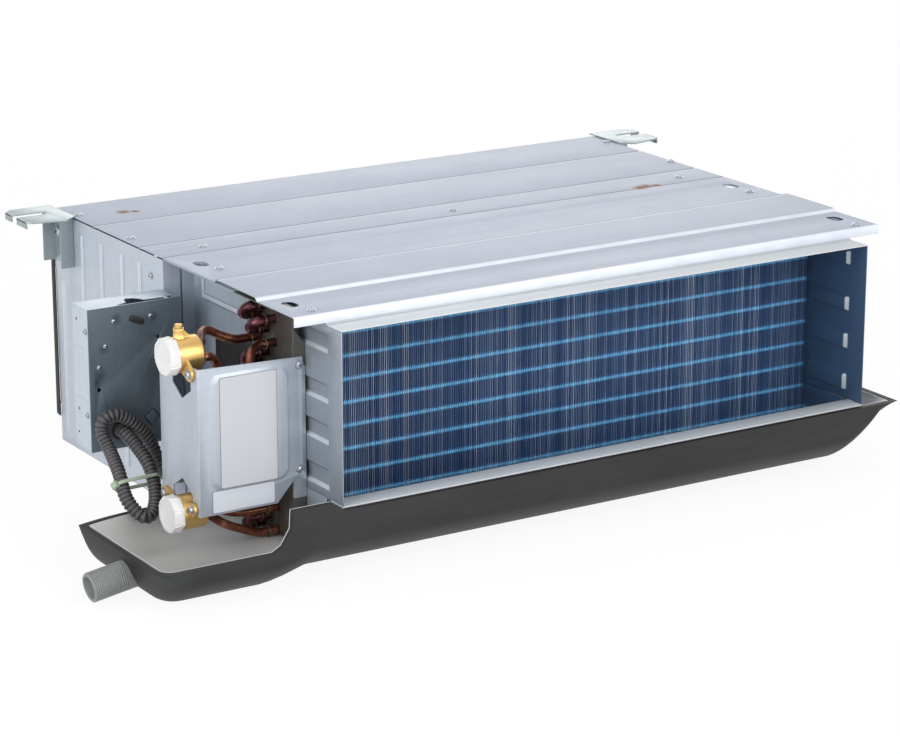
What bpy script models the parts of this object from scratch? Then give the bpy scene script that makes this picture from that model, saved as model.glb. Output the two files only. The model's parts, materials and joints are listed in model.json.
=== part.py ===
"""Concealed ducted fan coil unit: coil section in front, return-air plenum with two blowers behind.

Frame: +X to the right seen from the air outlet, -Y is the outlet side, +Z up.
Origin: centre of the plenum's underside.
"""

from math import ceil, cos, hypot, pi, radians, sin

import bpy
import bmesh
from mathutils import Vector

MM = 0.001

# Casing
CASING_WIDTH = 650 * MM
CASING_HEIGHT = 241 * MM
PLENUM_DEPTH = 238 * MM
COIL_SECTION_DEPTH = 251 * MM
SHEET = 1.0 * MM
GAP = 0.3 * MM

# The real unit's sizes, and how a casing of another size compares with it
REAL_WIDTH = 650 * MM
REAL_HEIGHT = 241 * MM
REAL_PLENUM_DEPTH = 238 * MM
WIDE = CASING_WIDTH / REAL_WIDTH
TALL = CASING_HEIGHT / REAL_HEIGHT
DEEP = PLENUM_DEPTH / REAL_PLENUM_DEPTH

# Top cover
COVER_LIP = 9 * MM
BAND_FRONT = 67 * MM
BAND_REAR = 148 * MM
BAND_RISE = 3 * MM
BAND_SLOPE = 4 * MM
GROOVE_REAR_COVER = (49 * MM, 149 * MM)
GROOVE_WIDTH = 5 * MM
GROOVE_DEPTH = 1 * MM
REAR_APRON = 63 * MM
HANGING_HOLE_LENGTH = 20 * MM
HANGING_HOLE_WIDTH = 12 * MM
HANGING_HOLE_INSET = 20 * MM
HANGING_HOLE_FROM_FRONT = 43 * MM
HANGING_HOLE_FROM_SEAM = 39 * MM

# Air path walls
DUCT_INSET = 33 * MM
COLLAR_PROJECTION = 24 * MM
COLLAR_TOP_DROP = 11 * MM
COLLAR_BOTTOM_DROP = 171 * MM
COLLAR_LEDGE = 22 * MM
COLLAR_TONGUE = 30 * MM
COLLAR_FRONT_LIP = 8 * MM
COLLAR_REAR_LIP = 12 * MM
EMBOSS_DEPTH = 3 * MM
EMBOSS_SLOPE = 3 * MM
EMBOSS_FROM_COIL = 8 * MM
EMBOSS_DROPS = ((20 * MM, 37 * MM), (66 * MM, 83 * MM), (103 * MM, 121 * MM), (144 * MM, 163 * MM))
FLANGE = 13 * MM
BEAD_WIDTH = 5 * MM
BEAD_HEIGHT = 2 * MM
BEAD_FROM_SEAM = 20 * MM
BEAD_DROP = 36 * MM
BEAD_FROM_COIL = 4 * MM
FLOOR_LIP = 20 * MM

# Coil
COIL_FRONT = 66.4 * MM
COIL_ROWS = 3
COIL_TUBES_HIGH = 10
ROW_PITCH = 13.3 * MM
TUBE_PITCH = 22 * MM
TUBE_RADIUS = 4 * MM
FIRST_TUBE_DROP = 20 * MM
COIL_TOP_DROP = 3.5 * MM
COIL_BOTTOM_DROP = 222 * MM
COIL_INSET = 20 * MM
FIN_PITCH = 12 * MM
FIN_SLOT_WIDTH = 8 * MM
FIN_SLOT_DEPTH = 1.6 * MM
TUBE_SHEET_FRONT = 40 * MM
TUBE_SHEET_REAR = 112 * MM
FLANGE_TRIM = ((2 * MM, 22 * MM), (9 * MM, 33 * MM), (17.7 * MM, 38 * MM))
TUBE_STUB = 11 * MM
HAIRPIN_STUB = 0.5 * MM
TUBE_HOLE_CLEARANCE = 0.7 * MM
BEND_STEPS = 4

# Headers, in distances from the casing's left edge and down from its top
HEADER_RADIUS = 16 * MM
HEADER_BORE = 11.5 * MM
HEADER_SOCKET_DEPTH = 14 * MM
HEADER_CHAMFER = 3 * MM
HEADER_OUTBOARD = 82 * MM
HEADER_INBOARD = 57 * MM
HEADER_FROM_FRONT = 70 * MM
HEADER_UPPER_DROP = 38 * MM
HEADER_LOWER_DROP = 183 * MM
CAP_ACROSS = 32 * MM
CAP_THICKNESS = 10 * MM
FEEDER_RADIUS = 4 * MM
LUG_THICKNESS = 3 * MM
LUG_RADIUS = 6.5 * MM
VENT_BOSS_RADIUS = 5 * MM
VENT_OUTBOARD = 76.3 * MM
VENT_BOSS_HEIGHT = 8 * MM
VENT_SCREW_RADIUS = 2.2 * MM
VENT_SCREW_HEAD = 3.8 * MM
VENT_SCREW_LENGTH = 5 * MM
VENT_HEAD_HEIGHT = 3.3 * MM
VENT_SLOT_WIDTH = 1 * MM

# Header bracket
BRACKET_LEFT = 74 * MM
BRACKET_RIGHT = 29 * MM
BRACKET_TOP_DROP = 45 * MM
BRACKET_BOTTOM_DROP = 180 * MM
BRACKET_WING_REAR = 112 * MM
BRACKET_FIELD_X = (-65 * MM, 15 * MM)
BRACKET_FIELD_DROPS = (158 * MM, 52 * MM)
BRACKET_EMBOSS_RISE = 2.5 * MM
BRACKET_SCREW_X = 25.5 * MM
BRACKET_SCREW_DROPS = (55 * MM, 152 * MM)

# Drain pan
FOAM = 5.7 * MM
PAN_SHEET = 1.2 * MM
PAN_LEFT = 151 * MM
PAN_RIGHT = 6 * MM
PAN_FRONT = 32 * MM
PAN_REAR = 141 * MM
PAN_BILGE_DEPTH = 47 * MM
PAN_BILGE_HEIGHT = 30 * MM
PAN_REAR_BILGE = 16 * MM
PAN_FULLNESS = 1.4
PAN_DEEP_FROM = 34 * MM
PAN_BOW = 36 * MM
PAN_STERN = 62 * MM
PAN_EAR_DROP = 163 * MM
BASIN_RIM_DROP = 199 * MM
TROUGH_RIM_DROP = 171.5 * MM
TROUGH_FLOOR_DROP = 231 * MM
NOZZLE_RADIUS = 13.5 * MM
NOZZLE_BORE = 10 * MM
NOZZLE_TIP = 184 * MM
NOZZLE_ROOT = 127 * MM
NOZZLE_FROM_FRONT = 41 * MM
NOZZLE_DROP = 219.5 * MM

# Plenum and filter
RIB_FROM_SEAM = (48 * MM, 86 * MM, 131 * MM, 174 * MM, 220 * MM)
RIB_WIDTH = 7 * MM
RIB_HEIGHT = 1.5 * MM
RIB_TOP_DROP = 14 * MM
SHORT_RIB_TOP_DROP = 70 * MM
RIB_SLOPE = 3 * MM
RIB_BOTTOM = 12 * MM
PLENUM_FLANGE = 18 * MM
FLOOR_APRON = 40 * MM
RAIL_DEPTH = 14 * MM
FILTER_THICKNESS = 5 * MM
FILTER_CLEARANCE = 0.4 * MM
FILTER_FRAME = 12 * MM
FILTER_RIBS = 5
FILTER_RIB_WIDTH = 4 * MM
FILTER_INSET = 3 * MM
MESH_THICKNESS = 1 * MM

# Blowers
FAN_AXIS_FROM_SEAM = 86 * MM
FAN_AXIS_HEIGHT = 102 * MM * TALL
IMPELLER_RADIUS = 72 * MM * TALL
BLADE_DEPTH = 12 * MM
BLADE_COUNT = 20
BLADE_THICKNESS = 1.2 * MM
BLADE_INSET = 1.2 * MM
BLADE_LEAD = 11
IMPELLER_WIDTH = 164 * MM * WIDE
RING_WIDTH = 4 * MM
RING_OVERHANG = 0.5 * MM
DISC_THICKNESS = 1.5 * MM
HUB_RADIUS = 10 * MM
HUB_LENGTH = 24 * MM
SHAFT_RADIUS = 4 * MM
HOUSING_WIDTH = 180 * MM * WIDE
HOUSING_CENTRE = 195 * MM * WIDE
SCROLL_START = 78 * MM * TALL
SCROLL_END = 110 * MM * TALL
SCROLL_TONGUE_ANGLE = 14
INLET_RADIUS = 58 * MM * TALL
MOTOR_RADIUS = 45 * MM
MOTOR_LENGTH = 112 * MM
MOTOR_BOSS_RADIUS = 20 * MM
MOTOR_BOSS_LENGTH = 14 * MM
MOTOR_CHAMFER = 8 * MM
MOTOR_BORE_CLEARANCE = 2 * MM
CRADLE_ARM_INSET = 3 * MM
CRADLE_FOOT = 4 * MM
CRADLE_PLATE = 3 * MM
STRAP_THICKNESS = 1.5 * MM
STRAP_FOOT = 2 * MM
BEARING_RADIUS = 11 * MM
BEARING_WIDTH = 7 * MM

# Control box
BOX_WIDTH = 91 * MM
BOX_RIGHT = 4 * MM
BOX_DEPTH = 33 * MM
BOX_TOP_DROP = 29 * MM
BOX_HEIGHT = 135 * MM
BOX_FROM_SEAM = 2.5 * MM
BOX_COVER_RIGHT = 0.5 * MM
BOX_BRACKET_X = (-60 * MM, 16 * MM)
BOX_BRACKET_DROPS = (150 * MM, 40 * MM)
BOX_PARTS_INSET = 24 * MM
TERMINAL_BLOCK = (50 * MM, 14 * MM, 20 * MM)
TERMINAL_HEIGHT = 78 * MM
CAPACITOR = (42 * MM, 20 * MM, 26 * MM)
CAPACITOR_HEIGHT = 40 * MM
CONDUIT_RADIUS = 6.5 * MM
GLAND_RADIUS = 10 * MM
GLAND_LENGTH = 9 * MM
GLAND_BORE = 4 * MM
GLAND_NECK_LENGTH = 3 * MM
GLAND_OUTBOARD = 70 * MM
GLAND_DROP = 144.5 * MM
GROMMET_FROM_SEAM = 51 * MM
GROMMET_DROP = 196 * MM
GROMMET_NECK = 6 * MM
GROMMET_LENGTH = 5 * MM

# Hanger brackets
HANGER_REACH = 52 * MM
HANGER_SHEET = 1.5 * MM
HANGER_AHEAD_OF_BACK = 61 * MM
HANGER_BEHIND_BACK = 8 * MM
HANGER_SLOT = 12 * MM
HANGER_SLOT_FROM_BACK = 20 * MM
HANGER_SLOT_ROOT = 18 * MM
HANGER_EDGE_DROP = 6.5 * MM
HANGER_PLATE_FROM_BACK = (45 * MM, 3 * MM)
HANGER_PLATE_HEIGHT = 51 * MM
HANGER_CORNER = 8 * MM
HANGER_LEG = 14 * MM
HANGER_LIP_INNER = 18 * MM
HANGER_LIP_OUTER = 10 * MM
HANGER_BOLT_OFFSET = 8 * MM
HANGER_BOLT_DROPS = (20 * MM, 38 * MM)

# Fasteners
SCREW_SHANK = 1.8 * MM
SCREW_CLEARANCE = 0.3 * MM
BOLT_TIP = 4 * MM
BOLT_HEAD_RADIUS = 4.5 * MM
BOLT_HEAD_HEIGHT = 3.2 * MM

# How far a cutting shape reaches past the sheet it cuts
CUTTER_REACH = 5 * MM

# Places worked out from the sizes above
LEFT = -CASING_WIDTH / 2
RIGHT = CASING_WIDTH / 2
TOP = CASING_HEIGHT
SEAM = -PLENUM_DEPTH / 2
BACK = PLENUM_DEPTH / 2
FRONT = SEAM - COIL_SECTION_DEPTH
FAN_Y = SEAM + FAN_AXIS_FROM_SEAM
FAN_Z = FAN_AXIS_HEIGHT
UNDER_COVER = TOP - SHEET - GAP
DECK_FRONT = SEAM + SHEET + GAP
DECK_BACK = DECK_FRONT + SHEET
SHEET_FRONT = FRONT + TUBE_SHEET_FRONT
SHEET_REAR = FRONT + TUBE_SHEET_REAR
HANGER_FRONT = BACK - HANGER_AHEAD_OF_BACK
HANGER_REAR = BACK + HANGER_BEHIND_BACK
HANGER_SLOT_CENTRE = BACK - HANGER_SLOT_FROM_BACK
HANGER_PLATE_FRONT = BACK - HANGER_PLATE_FROM_BACK[0]
HANGER_PLATE_REAR = BACK - HANGER_PLATE_FROM_BACK[1]
RAIL_LOW = FLOOR_APRON - RAIL_DEPTH - 2 * MM
RAIL_HIGH = TOP - REAR_APRON + RAIL_DEPTH + 2 * MM
COIL_X = CASING_WIDTH / 2 - COIL_INSET
DUCT_X = CASING_WIDTH / 2 - DUCT_INSET

# Colour, metallic value and roughness of each finish
FINISHES = {
    "galvanised_steel": ((0.60, 0.66, 0.71), 0.85, 0.42),
    "bright_steel": ((0.78, 0.80, 0.83), 0.80, 0.35),
    "coated_steel": ((0.07, 0.10, 0.12), 0.60, 0.45),
    "end_plate_steel": ((0.25, 0.24, 0.22), 0.80, 0.50),
    "aluminium_fin": ((0.03, 0.06, 0.11), 0.70, 0.40),
    "copper": ((0.36, 0.12, 0.06), 0.90, 0.35),
    "brass": ((0.80, 0.58, 0.22), 0.90, 0.38),
    "white_plastic": ((0.85, 0.84, 0.82), 0.0, 0.45),
    "grey_plastic": ((0.45, 0.46, 0.46), 0.0, 0.50),
    "black_foam": ((0.055, 0.052, 0.053), 0.0, 0.95),
    "pan_paint": ((0.36, 0.36, 0.35), 0.2, 0.50),
    "black_plastic": ((0.05, 0.05, 0.055), 0.0, 0.55),
    "motor_steel": ((0.30, 0.31, 0.32), 0.80, 0.45),
    "filter_net": ((0.08, 0.08, 0.09), 0.0, 0.80),
}


def clear_scene():
    for obj in list(bpy.data.objects):
        bpy.data.objects.remove(obj, do_unlink=True)


def finish(name):
    """Return the material of one finish, made on first use."""
    found = bpy.data.materials.get(name)
    if found:
        return found
    colour, metallic, roughness = FINISHES[name]
    made = bpy.data.materials.new(name)
    made.use_nodes = True
    shader = made.node_tree.nodes["Principled BSDF"]
    shader.inputs["Base Color"].default_value = (*colour, 1.0)
    shader.inputs["Metallic"].default_value = metallic
    shader.inputs["Roughness"].default_value = roughness
    return made


def drop(distance):
    """Height of a point that lies this far below the top face of a casing as tall as the real one."""
    return TOP - distance * TALL


def from_left(distance):
    """X of a point this far to the right of the casing's left edge."""
    return LEFT + distance


def from_front(distance):
    """Y of a point this far behind the top cover's front edge."""
    return FRONT + distance


def place(axis, along, a, b):
    """Point at `along` on an axis, with a and b on the other two axes in X, Y, Z order."""
    if axis == "X":
        return Vector((along, a, b))
    if axis == "Y":
        return Vector((a, along, b))
    return Vector((a, b, along))


def add_prism(bm, outline, axis, low, high):
    """Add a closed prism of a flat outline between two planes square to an axis."""
    lows = [bm.verts.new(place(axis, low, a, b)) for a, b in outline]
    highs = [bm.verts.new(place(axis, high, a, b)) for a, b in outline]
    faces = [bm.faces.new(lows), bm.faces.new(highs)]
    count = len(outline)
    for i in range(count):
        j = (i + 1) % count
        faces.append(bm.faces.new((lows[i], lows[j], highs[j], highs[i])))
    bmesh.ops.recalc_face_normals(bm, faces=faces)
    return faces


def add_box(bm, x, y, z):
    """Add a box from three (low, high) pairs."""
    return add_prism(bm, [(x[0], y[0]), (x[1], y[0]), (x[1], y[1]), (x[0], y[1])], "Z", z[0], z[1])


def circle(centre, radius, sides, start=0.0):
    """Corners of a regular polygon round a centre."""
    return [(centre[0] + radius * cos(start + 2 * pi * i / sides),
             centre[1] + radius * sin(start + 2 * pi * i / sides)) for i in range(sides)]


def obround(centre, length, width, sides=6):
    """Outline of a slot with round ends, long along the second axis."""
    radius = width / 2
    reach = length / 2 - radius
    x, y = centre
    arc = [(radius * cos(pi * i / sides), reach + radius * sin(pi * i / sides)) for i in range(sides + 1)]
    return [(x + a, y + b) for a, b in arc] + [(x - a, y - b) for a, b in arc]


def add_cylinder(bm, axis, centre, radius, low, high, sides=12):
    """Add a closed cylinder; centre is its place on the two other axes."""
    return add_prism(bm, circle(centre, radius, sides, pi / sides), axis, low, high)


def add_lathe(bm, profile, axis, centre, sides):
    """Turn a closed profile of (along, radius) points round an axis."""
    rings = []
    for along, radius in profile:
        if radius == 0:
            rings.append([bm.verts.new(place(axis, along, *centre))])
        else:
            ring = circle(centre, radius, sides)
            rings.append([bm.verts.new(place(axis, along, a, b)) for a, b in ring])
    faces = []
    for i, ring in enumerate(rings):
        after = rings[(i + 1) % len(rings)]
        if len(ring) == 1 and len(after) == 1:
            continue
        for j in range(sides):
            k = (j + 1) % sides
            if len(ring) == 1:
                faces.append(bm.faces.new((ring[0], after[k], after[j])))
            elif len(after) == 1:
                faces.append(bm.faces.new((ring[j], ring[k], after[0])))
            else:
                faces.append(bm.faces.new((ring[j], ring[k], after[k], after[j])))
    bmesh.ops.recalc_face_normals(bm, faces=faces)
    return faces


def sheet_outline(points, thickness):
    """Outline of a folded sheet: a polyline and its copy set off to the left by the thickness."""
    offset = []
    for i, point in enumerate(points):
        here = Vector(point)
        normals = []
        if i > 0:
            back = (here - Vector(points[i - 1])).normalized()
            normals.append(Vector((-back.y, back.x)))
        if i < len(points) - 1:
            ahead = (Vector(points[i + 1]) - here).normalized()
            normals.append(Vector((-ahead.y, ahead.x)))
        total = sum(normals, Vector((0.0, 0.0)))
        bisector = total.normalized()
        offset.append(here + bisector * thickness / bisector.dot(normals[0]))
    return [tuple(point) for point in points] + [tuple(point) for point in reversed(offset)]


def add_grid_shell(bm, outer, inner):
    """Join two matching point grids into one closed shell along their borders."""
    rows = len(outer)
    columns = len(outer[0])
    skins = [[[bm.verts.new(point) for point in row] for row in grid] for grid in (outer, inner)]
    faces = []
    for skin in skins:
        for i in range(rows - 1):
            for j in range(columns - 1):
                corners = (skin[i][j], skin[i + 1][j], skin[i + 1][j + 1], skin[i][j + 1])
                faces.append(bm.faces.new(corners))
    border = [(i, 0) for i in range(rows)] + [(rows - 1, j) for j in range(1, columns)]
    border += [(i, columns - 1) for i in range(rows - 2, -1, -1)]
    border += [(0, j) for j in range(columns - 2, 0, -1)]
    for n, (i, j) in enumerate(border):
        k, m = border[(n + 1) % len(border)]
        faces.append(bm.faces.new((skins[0][i][j], skins[0][k][m], skins[1][k][m], skins[1][i][j])))
    bmesh.ops.recalc_face_normals(bm, faces=faces)
    return faces


def add_pressed_plate(bm, us, vs, height, thickness, put):
    """Add a pressed sheet: put(u, v, n) gives a point and height(u, v) how far it is pushed out."""
    outer = [[put(u, v, height(u, v)) for v in vs] for u in us]
    inner = [[put(u, v, height(u, v) - thickness) for v in vs] for u in us]
    return add_grid_shell(bm, outer, inner)


def add_swept_tube(bm, path, radius, sides):
    """Sweep a round section along a path, with flat closed ends."""
    points = [Vector(point) for point in path]
    tangents = []
    for i in range(len(points)):
        before = points[max(i - 1, 0)]
        after = points[min(i + 1, len(points) - 1)]
        tangents.append((after - before).normalized())
    side = tangents[0].orthogonal().normalized()
    rings = []
    for point, tangent in zip(points, tangents):
        side = (side - tangent * side.dot(tangent)).normalized()
        other = tangent.cross(side)
        spokes = [side * a + other * b for a, b in circle((0.0, 0.0), radius, sides)]
        rings.append([bm.verts.new(point + spoke) for spoke in spokes])
    faces = [bm.faces.new(rings[0]), bm.faces.new(rings[-1])]
    for first, second in zip(rings, rings[1:]):
        for k in range(sides):
            m = (k + 1) % sides
            faces.append(bm.faces.new((first[k], first[m], second[m], second[k])))
    bmesh.ops.recalc_face_normals(bm, faces=faces)
    return faces


def smooth_path(points, spacing):
    """Points at even steps along a smooth curve through the given ones."""
    knots = [Vector(point) for point in points]
    ends = [knots[0] * 2 - knots[1]] + knots + [knots[-1] * 2 - knots[-2]]
    dense = []
    for i in range(1, len(ends) - 2):
        a, b, c, d = ends[i - 1:i + 3]
        for step in range(12):
            t = step / 12
            dense.append(0.5 * (2 * b + (c - a) * t + (2 * a - 5 * b + 4 * c - d) * t ** 2
                                + (3 * b - a - 3 * c + d) * t ** 3))
    dense.append(knots[-1])
    lengths = [0.0]
    for first, second in zip(dense, dense[1:]):
        lengths.append(lengths[-1] + (second - first).length)
    count = ceil(lengths[-1] / spacing)
    result = []
    segment = 0
    for n in range(count + 1):
        target = lengths[-1] * n / count
        while segment < len(dense) - 2 and lengths[segment + 1] < target:
            segment += 1
        share = (target - lengths[segment]) / (lengths[segment + 1] - lengths[segment])
        result.append(dense[segment].lerp(dense[segment + 1], share))
    # Short straight ends keep the end faces square to the route
    result.insert(1, result[0] + (knots[1] - knots[0]).normalized() * spacing / 8)
    result.insert(-1, result[-1] + (knots[-2] - knots[-1]).normalized() * spacing / 8)
    return result


def measured_path(points, step, zero_y, spacing):
    """Smooth path through points counted in steps from the left edge, behind zero_y and down."""
    places = [(from_left(x * step), zero_y + y * step, drop(z * step)) for x, y, z in points]
    return smooth_path(places, spacing)


def link_mesh(name, bm):
    mesh = bpy.data.meshes.new(name)
    bm.to_mesh(mesh)
    bm.free()
    obj = bpy.data.objects.new(name, mesh)
    bpy.context.collection.objects.link(obj)
    return obj


def make_tool(name, bm):
    """Make a helper shape for a Boolean, kept out of renders."""
    obj = link_mesh(name, bm)
    obj.hide_render = True
    obj.display_type = "WIRE"
    return obj


def make_part(name, bm, finish_name, unions=(), cuts=(), smooth_angle=None):
    """Make one sub-part, joined with and cut by helper shapes."""
    obj = link_mesh(name, bm)
    obj.data.materials.append(finish(finish_name))
    for operation, helpers in (("UNION", unions), ("DIFFERENCE", cuts)):
        for helper in helpers:
            modifier = obj.modifiers.new(helper.name, "BOOLEAN")
            modifier.operation = operation
            modifier.solver = "EXACT"
            modifier.object = helper
    if smooth_angle:
        obj.data.shade_smooth()
        obj.data.set_sharp_from_angle(angle=radians(smooth_angle))
    return obj


def side_pairs():
    """The two ends of the unit: a name and the sign of X there."""
    return (("left", -1), ("right", 1))


def span(sign, inner, outer):
    """Low and high X of a stretch between two distances from the centre plane, on one side."""
    return (-outer, -inner) if sign < 0 else (inner, outer)


def cut_screw_hole(bm, axis, centre, low, high):
    add_cylinder(bm, axis, centre, SCREW_SHANK + SCREW_CLEARANCE, low, high, 8)


# Top covers

def hanging_hole_cutter():
    bm = bmesh.new()
    for x in (LEFT + HANGING_HOLE_INSET, RIGHT - HANGING_HOLE_INSET):
        for y in (from_front(HANGING_HOLE_FROM_FRONT), SEAM - HANGING_HOLE_FROM_SEAM):
            outline = obround((x, y), HANGING_HOLE_LENGTH, HANGING_HOLE_WIDTH)
            add_prism(bm, outline, "Z", TOP - 6 * MM, TOP + 6 * MM)
    return make_tool("hanging_hole_cutter", bm)


def make_top_covers(hanging_holes):
    band = [(FRONT + BAND_FRONT, TOP), (FRONT + BAND_FRONT + BAND_SLOPE, TOP + BAND_RISE),
            (FRONT + BAND_REAR - BAND_SLOPE, TOP + BAND_RISE), (FRONT + BAND_REAR, TOP)]
    top_line = [(FRONT, TOP - COVER_LIP), (FRONT, TOP)] + band + [(SEAM - GAP, TOP)]
    bm = bmesh.new()
    add_prism(bm, sheet_outline(top_line, -SHEET), "X", LEFT, RIGHT)
    make_part("top_cover_front", bm, "bright_steel", cuts=(hanging_holes,))

    top_line = [(SEAM + GAP, TOP)]
    for groove in GROOVE_REAR_COVER:
        middle = SEAM + groove * DEEP
        top_line += [(middle - GROOVE_WIDTH / 2, TOP), (middle, TOP - GROOVE_DEPTH),
                     (middle + GROOVE_WIDTH / 2, TOP)]
    top_line += [(BACK, TOP), (BACK, TOP - REAR_APRON)]
    bm = bmesh.new()
    add_prism(bm, sheet_outline(top_line, -SHEET), "X", LEFT, RIGHT)
    make_part("top_cover_rear", bm, "bright_steel")


# Casing sides behind the coil, and the casing floor

def make_casing_sides(hanging_holes):
    low = SHEET + GAP
    for name, sign in side_pairs():
        web = [(sign * DUCT_X, SHEET_REAR + GAP), (sign * DUCT_X, SEAM),
               (sign * (DUCT_X + FLANGE), SEAM), (sign * (DUCT_X + FLANGE), SEAM + SHEET),
               (sign * (DUCT_X - SHEET), SEAM + SHEET), (sign * (DUCT_X - SHEET), SHEET_REAR + GAP)]
        bm = bmesh.new()
        add_prism(bm, web, "Z", low, UNDER_COVER)
        extra = bmesh.new()
        add_box(extra, span(sign, DUCT_X - 0.5 * SHEET, CASING_WIDTH / 2 - 0.5 * SHEET),
                (SHEET_REAR + GAP, SEAM - GAP), (UNDER_COVER - SHEET, UNDER_COVER))
        bead = bead_outline()
        add_prism(extra, bead, "X", *span(sign, DUCT_X - 0.5 * SHEET, DUCT_X + BEAD_HEIGHT))
        corner = bmesh.new()
        add_box(corner, span(sign, DUCT_X - CUTTER_REACH, DUCT_X + CUTTER_REACH),
                (SHEET_REAR - MM, from_front(PAN_REAR) + GAP), (-MM, drop(TROUGH_RIM_DROP) + GAP))
        cutters = [hanging_holes, make_tool("casing_side_corner_" + name, corner)]
        if name == "left":
            opening = bmesh.new()
            add_cylinder(opening, "X", grommet_centre(), GROMMET_NECK + GAP,
                         -DUCT_X - CUTTER_REACH, -DUCT_X + CUTTER_REACH)
            cutters.append(make_tool("grommet_hole", opening))
        make_part("casing_side_" + name, bm, "galvanised_steel",
                  unions=(make_tool("casing_side_extras_" + name, extra),), cuts=cutters)


def bead_outline():
    """L-shaped stiffening bead: down from the top at the rear, then forward to the coil."""
    rear = SEAM - BEAD_FROM_SEAM
    low = drop(BEAD_DROP)
    high = UNDER_COVER - 3 * SHEET
    front = SHEET_REAR + BEAD_FROM_COIL
    half = BEAD_WIDTH / 2
    return [(front, low - half), (rear + half, low - half), (rear + half, high), (rear - half, high),
            (rear - half, low + half), (front, low + half)]


def make_casing_floor():
    front = from_front(PAN_REAR) + GAP
    bm = bmesh.new()
    add_box(bm, (-DUCT_X, DUCT_X), (front, SEAM - GAP), (0.0, SHEET))
    lip = bmesh.new()
    half = DUCT_X - SHEET - GAP
    add_box(lip, (-half, half), (front, front + SHEET), (0.5 * SHEET, FLOOR_LIP))
    make_part("casing_floor", bm, "galvanised_steel", unions=(make_tool("floor_lip", lip),))


# Outlet collar

def make_collar():
    front = FRONT - COLLAR_PROJECTION
    rear = from_front(COIL_FRONT) - GAP
    top = drop(COLLAR_TOP_DROP)
    step = FRONT + SHEET + GAP + SHEET
    line = [(front, top), (step, top), (step, UNDER_COVER), (FRONT + COLLAR_TONGUE, UNDER_COVER)]
    bm = bmesh.new()
    add_prism(bm, sheet_outline(line, -SHEET), "X", -DUCT_X, DUCT_X)
    make_part("outlet_collar_top", bm, "bright_steel")

    ledge = drop(COLLAR_BOTTOM_DROP)
    line = [(front, ledge - COLLAR_FRONT_LIP), (front, ledge), (front + COLLAR_LEDGE, ledge),
            (front + COLLAR_LEDGE, ledge - COLLAR_REAR_LIP)]
    bm = bmesh.new()
    add_prism(bm, sheet_outline(line, -SHEET), "X", -DUCT_X, DUCT_X)
    make_part("outlet_collar_bottom", bm, "bright_steel")

    end = rear - EMBOSS_FROM_COIL
    us = [front, FRONT, FRONT + EMBOSS_SLOPE, end - EMBOSS_SLOPE, end, rear]
    vs = [ledge + GAP]
    for high_drop, low_drop in reversed(EMBOSS_DROPS):
        low, high = drop(low_drop), drop(high_drop)
        vs += [low, low + EMBOSS_SLOPE, high - EMBOSS_SLOPE, high]
    vs.append(UNDER_COVER - SHEET - GAP)

    def pressed(u, v):
        across = us[2] <= u <= us[3]
        inside = any(drop(low_drop) + EMBOSS_SLOPE <= v <= drop(high_drop) - EMBOSS_SLOPE
                     for high_drop, low_drop in EMBOSS_DROPS)
        return -EMBOSS_DEPTH if across and inside else 0.0

    for name, sign in side_pairs():
        def put(u, v, n):
            return Vector((sign * (DUCT_X + n), u, v))

        bm = bmesh.new()
        add_pressed_plate(bm, us, vs, pressed, SHEET, put)
        corner = bmesh.new()
        add_box(corner, span(sign, DUCT_X - CUTTER_REACH, DUCT_X + CUTTER_REACH),
                (front - CUTTER_REACH, step + SHEET + GAP), (top - SHEET - GAP, TOP))
        make_part("outlet_collar_" + name, bm, "galvanised_steel",
                  cuts=(make_tool("collar_corner_cutter_" + name, corner),))


# Coil

def tube_places():
    """Row, number and centre (y, z) of every tube; the middle row is staggered by half a pitch."""
    places = []
    for row in range(COIL_ROWS):
        y = from_front(COIL_FRONT) + ROW_PITCH * (row + 0.5)
        stagger = TUBE_PITCH / 2 if row % 2 else 0.0
        for k in range(COIL_TUBES_HIGH):
            places.append((row, k, (y, drop(FIRST_TUBE_DROP - stagger + TUBE_PITCH * k))))
    return places


def tube_centre(row, k):
    for found_row, found_k, centre in tube_places():
        if (found_row, found_k) == (row, k):
            return centre
    raise ValueError("no such tube")


def make_tube_sheets():
    holes = bmesh.new()
    for _, _, centre in tube_places():
        for _, sign in side_pairs():
            low, high = span(sign, COIL_X - CUTTER_REACH, COIL_X + CUTTER_REACH)
            add_cylinder(holes, "X", centre, TUBE_RADIUS + TUBE_HOLE_CLEARANCE, low, high, 6)
    hole_cutter = make_tool("tube_hole_cutter", holes)
    low = drop(COIL_BOTTOM_DROP)
    reach = COIL_INSET - DUCT_INSET
    for name, sign in side_pairs():
        inner = COIL_X + reach + GAP
        channel = [(inner, SHEET_FRONT), (COIL_X, SHEET_FRONT), (COIL_X, SHEET_REAR), (inner, SHEET_REAR),
                   (inner, SHEET_REAR - SHEET), (COIL_X - SHEET, SHEET_REAR - SHEET),
                   (COIL_X - SHEET, SHEET_FRONT + SHEET), (inner, SHEET_FRONT + SHEET)]
        bm = bmesh.new()
        add_prism(bm, [(sign * x, y) for x, y in channel], "Z", low, UNDER_COVER)
        shelf = bmesh.new()
        add_box(shelf, span(sign, COIL_X - 0.5 * SHEET, CASING_WIDTH / 2 - 0.5 * SHEET),
                (SHEET_FRONT, SHEET_REAR), (UNDER_COVER - SHEET, UNDER_COVER))
        corner = bmesh.new()
        trim = [(COIL_X - a, drop(down)) for a, down in FLANGE_TRIM]
        trim = [(trim[0][0], TOP + MM)] + trim + [(trim[-1][0], TOP + MM)]
        add_prism(corner, [(sign * x, z) for x, z in trim], "Y", SHEET_FRONT - 2 * MM,
                  SHEET_FRONT + 2 * SHEET)
        make_part("tube_sheet_" + name, bm, "end_plate_steel",
                  unions=(make_tool("tube_sheet_shelf_" + name, shelf),),
                  cuts=(hole_cutter, make_tool("tube_sheet_corner_" + name, corner)))


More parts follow.
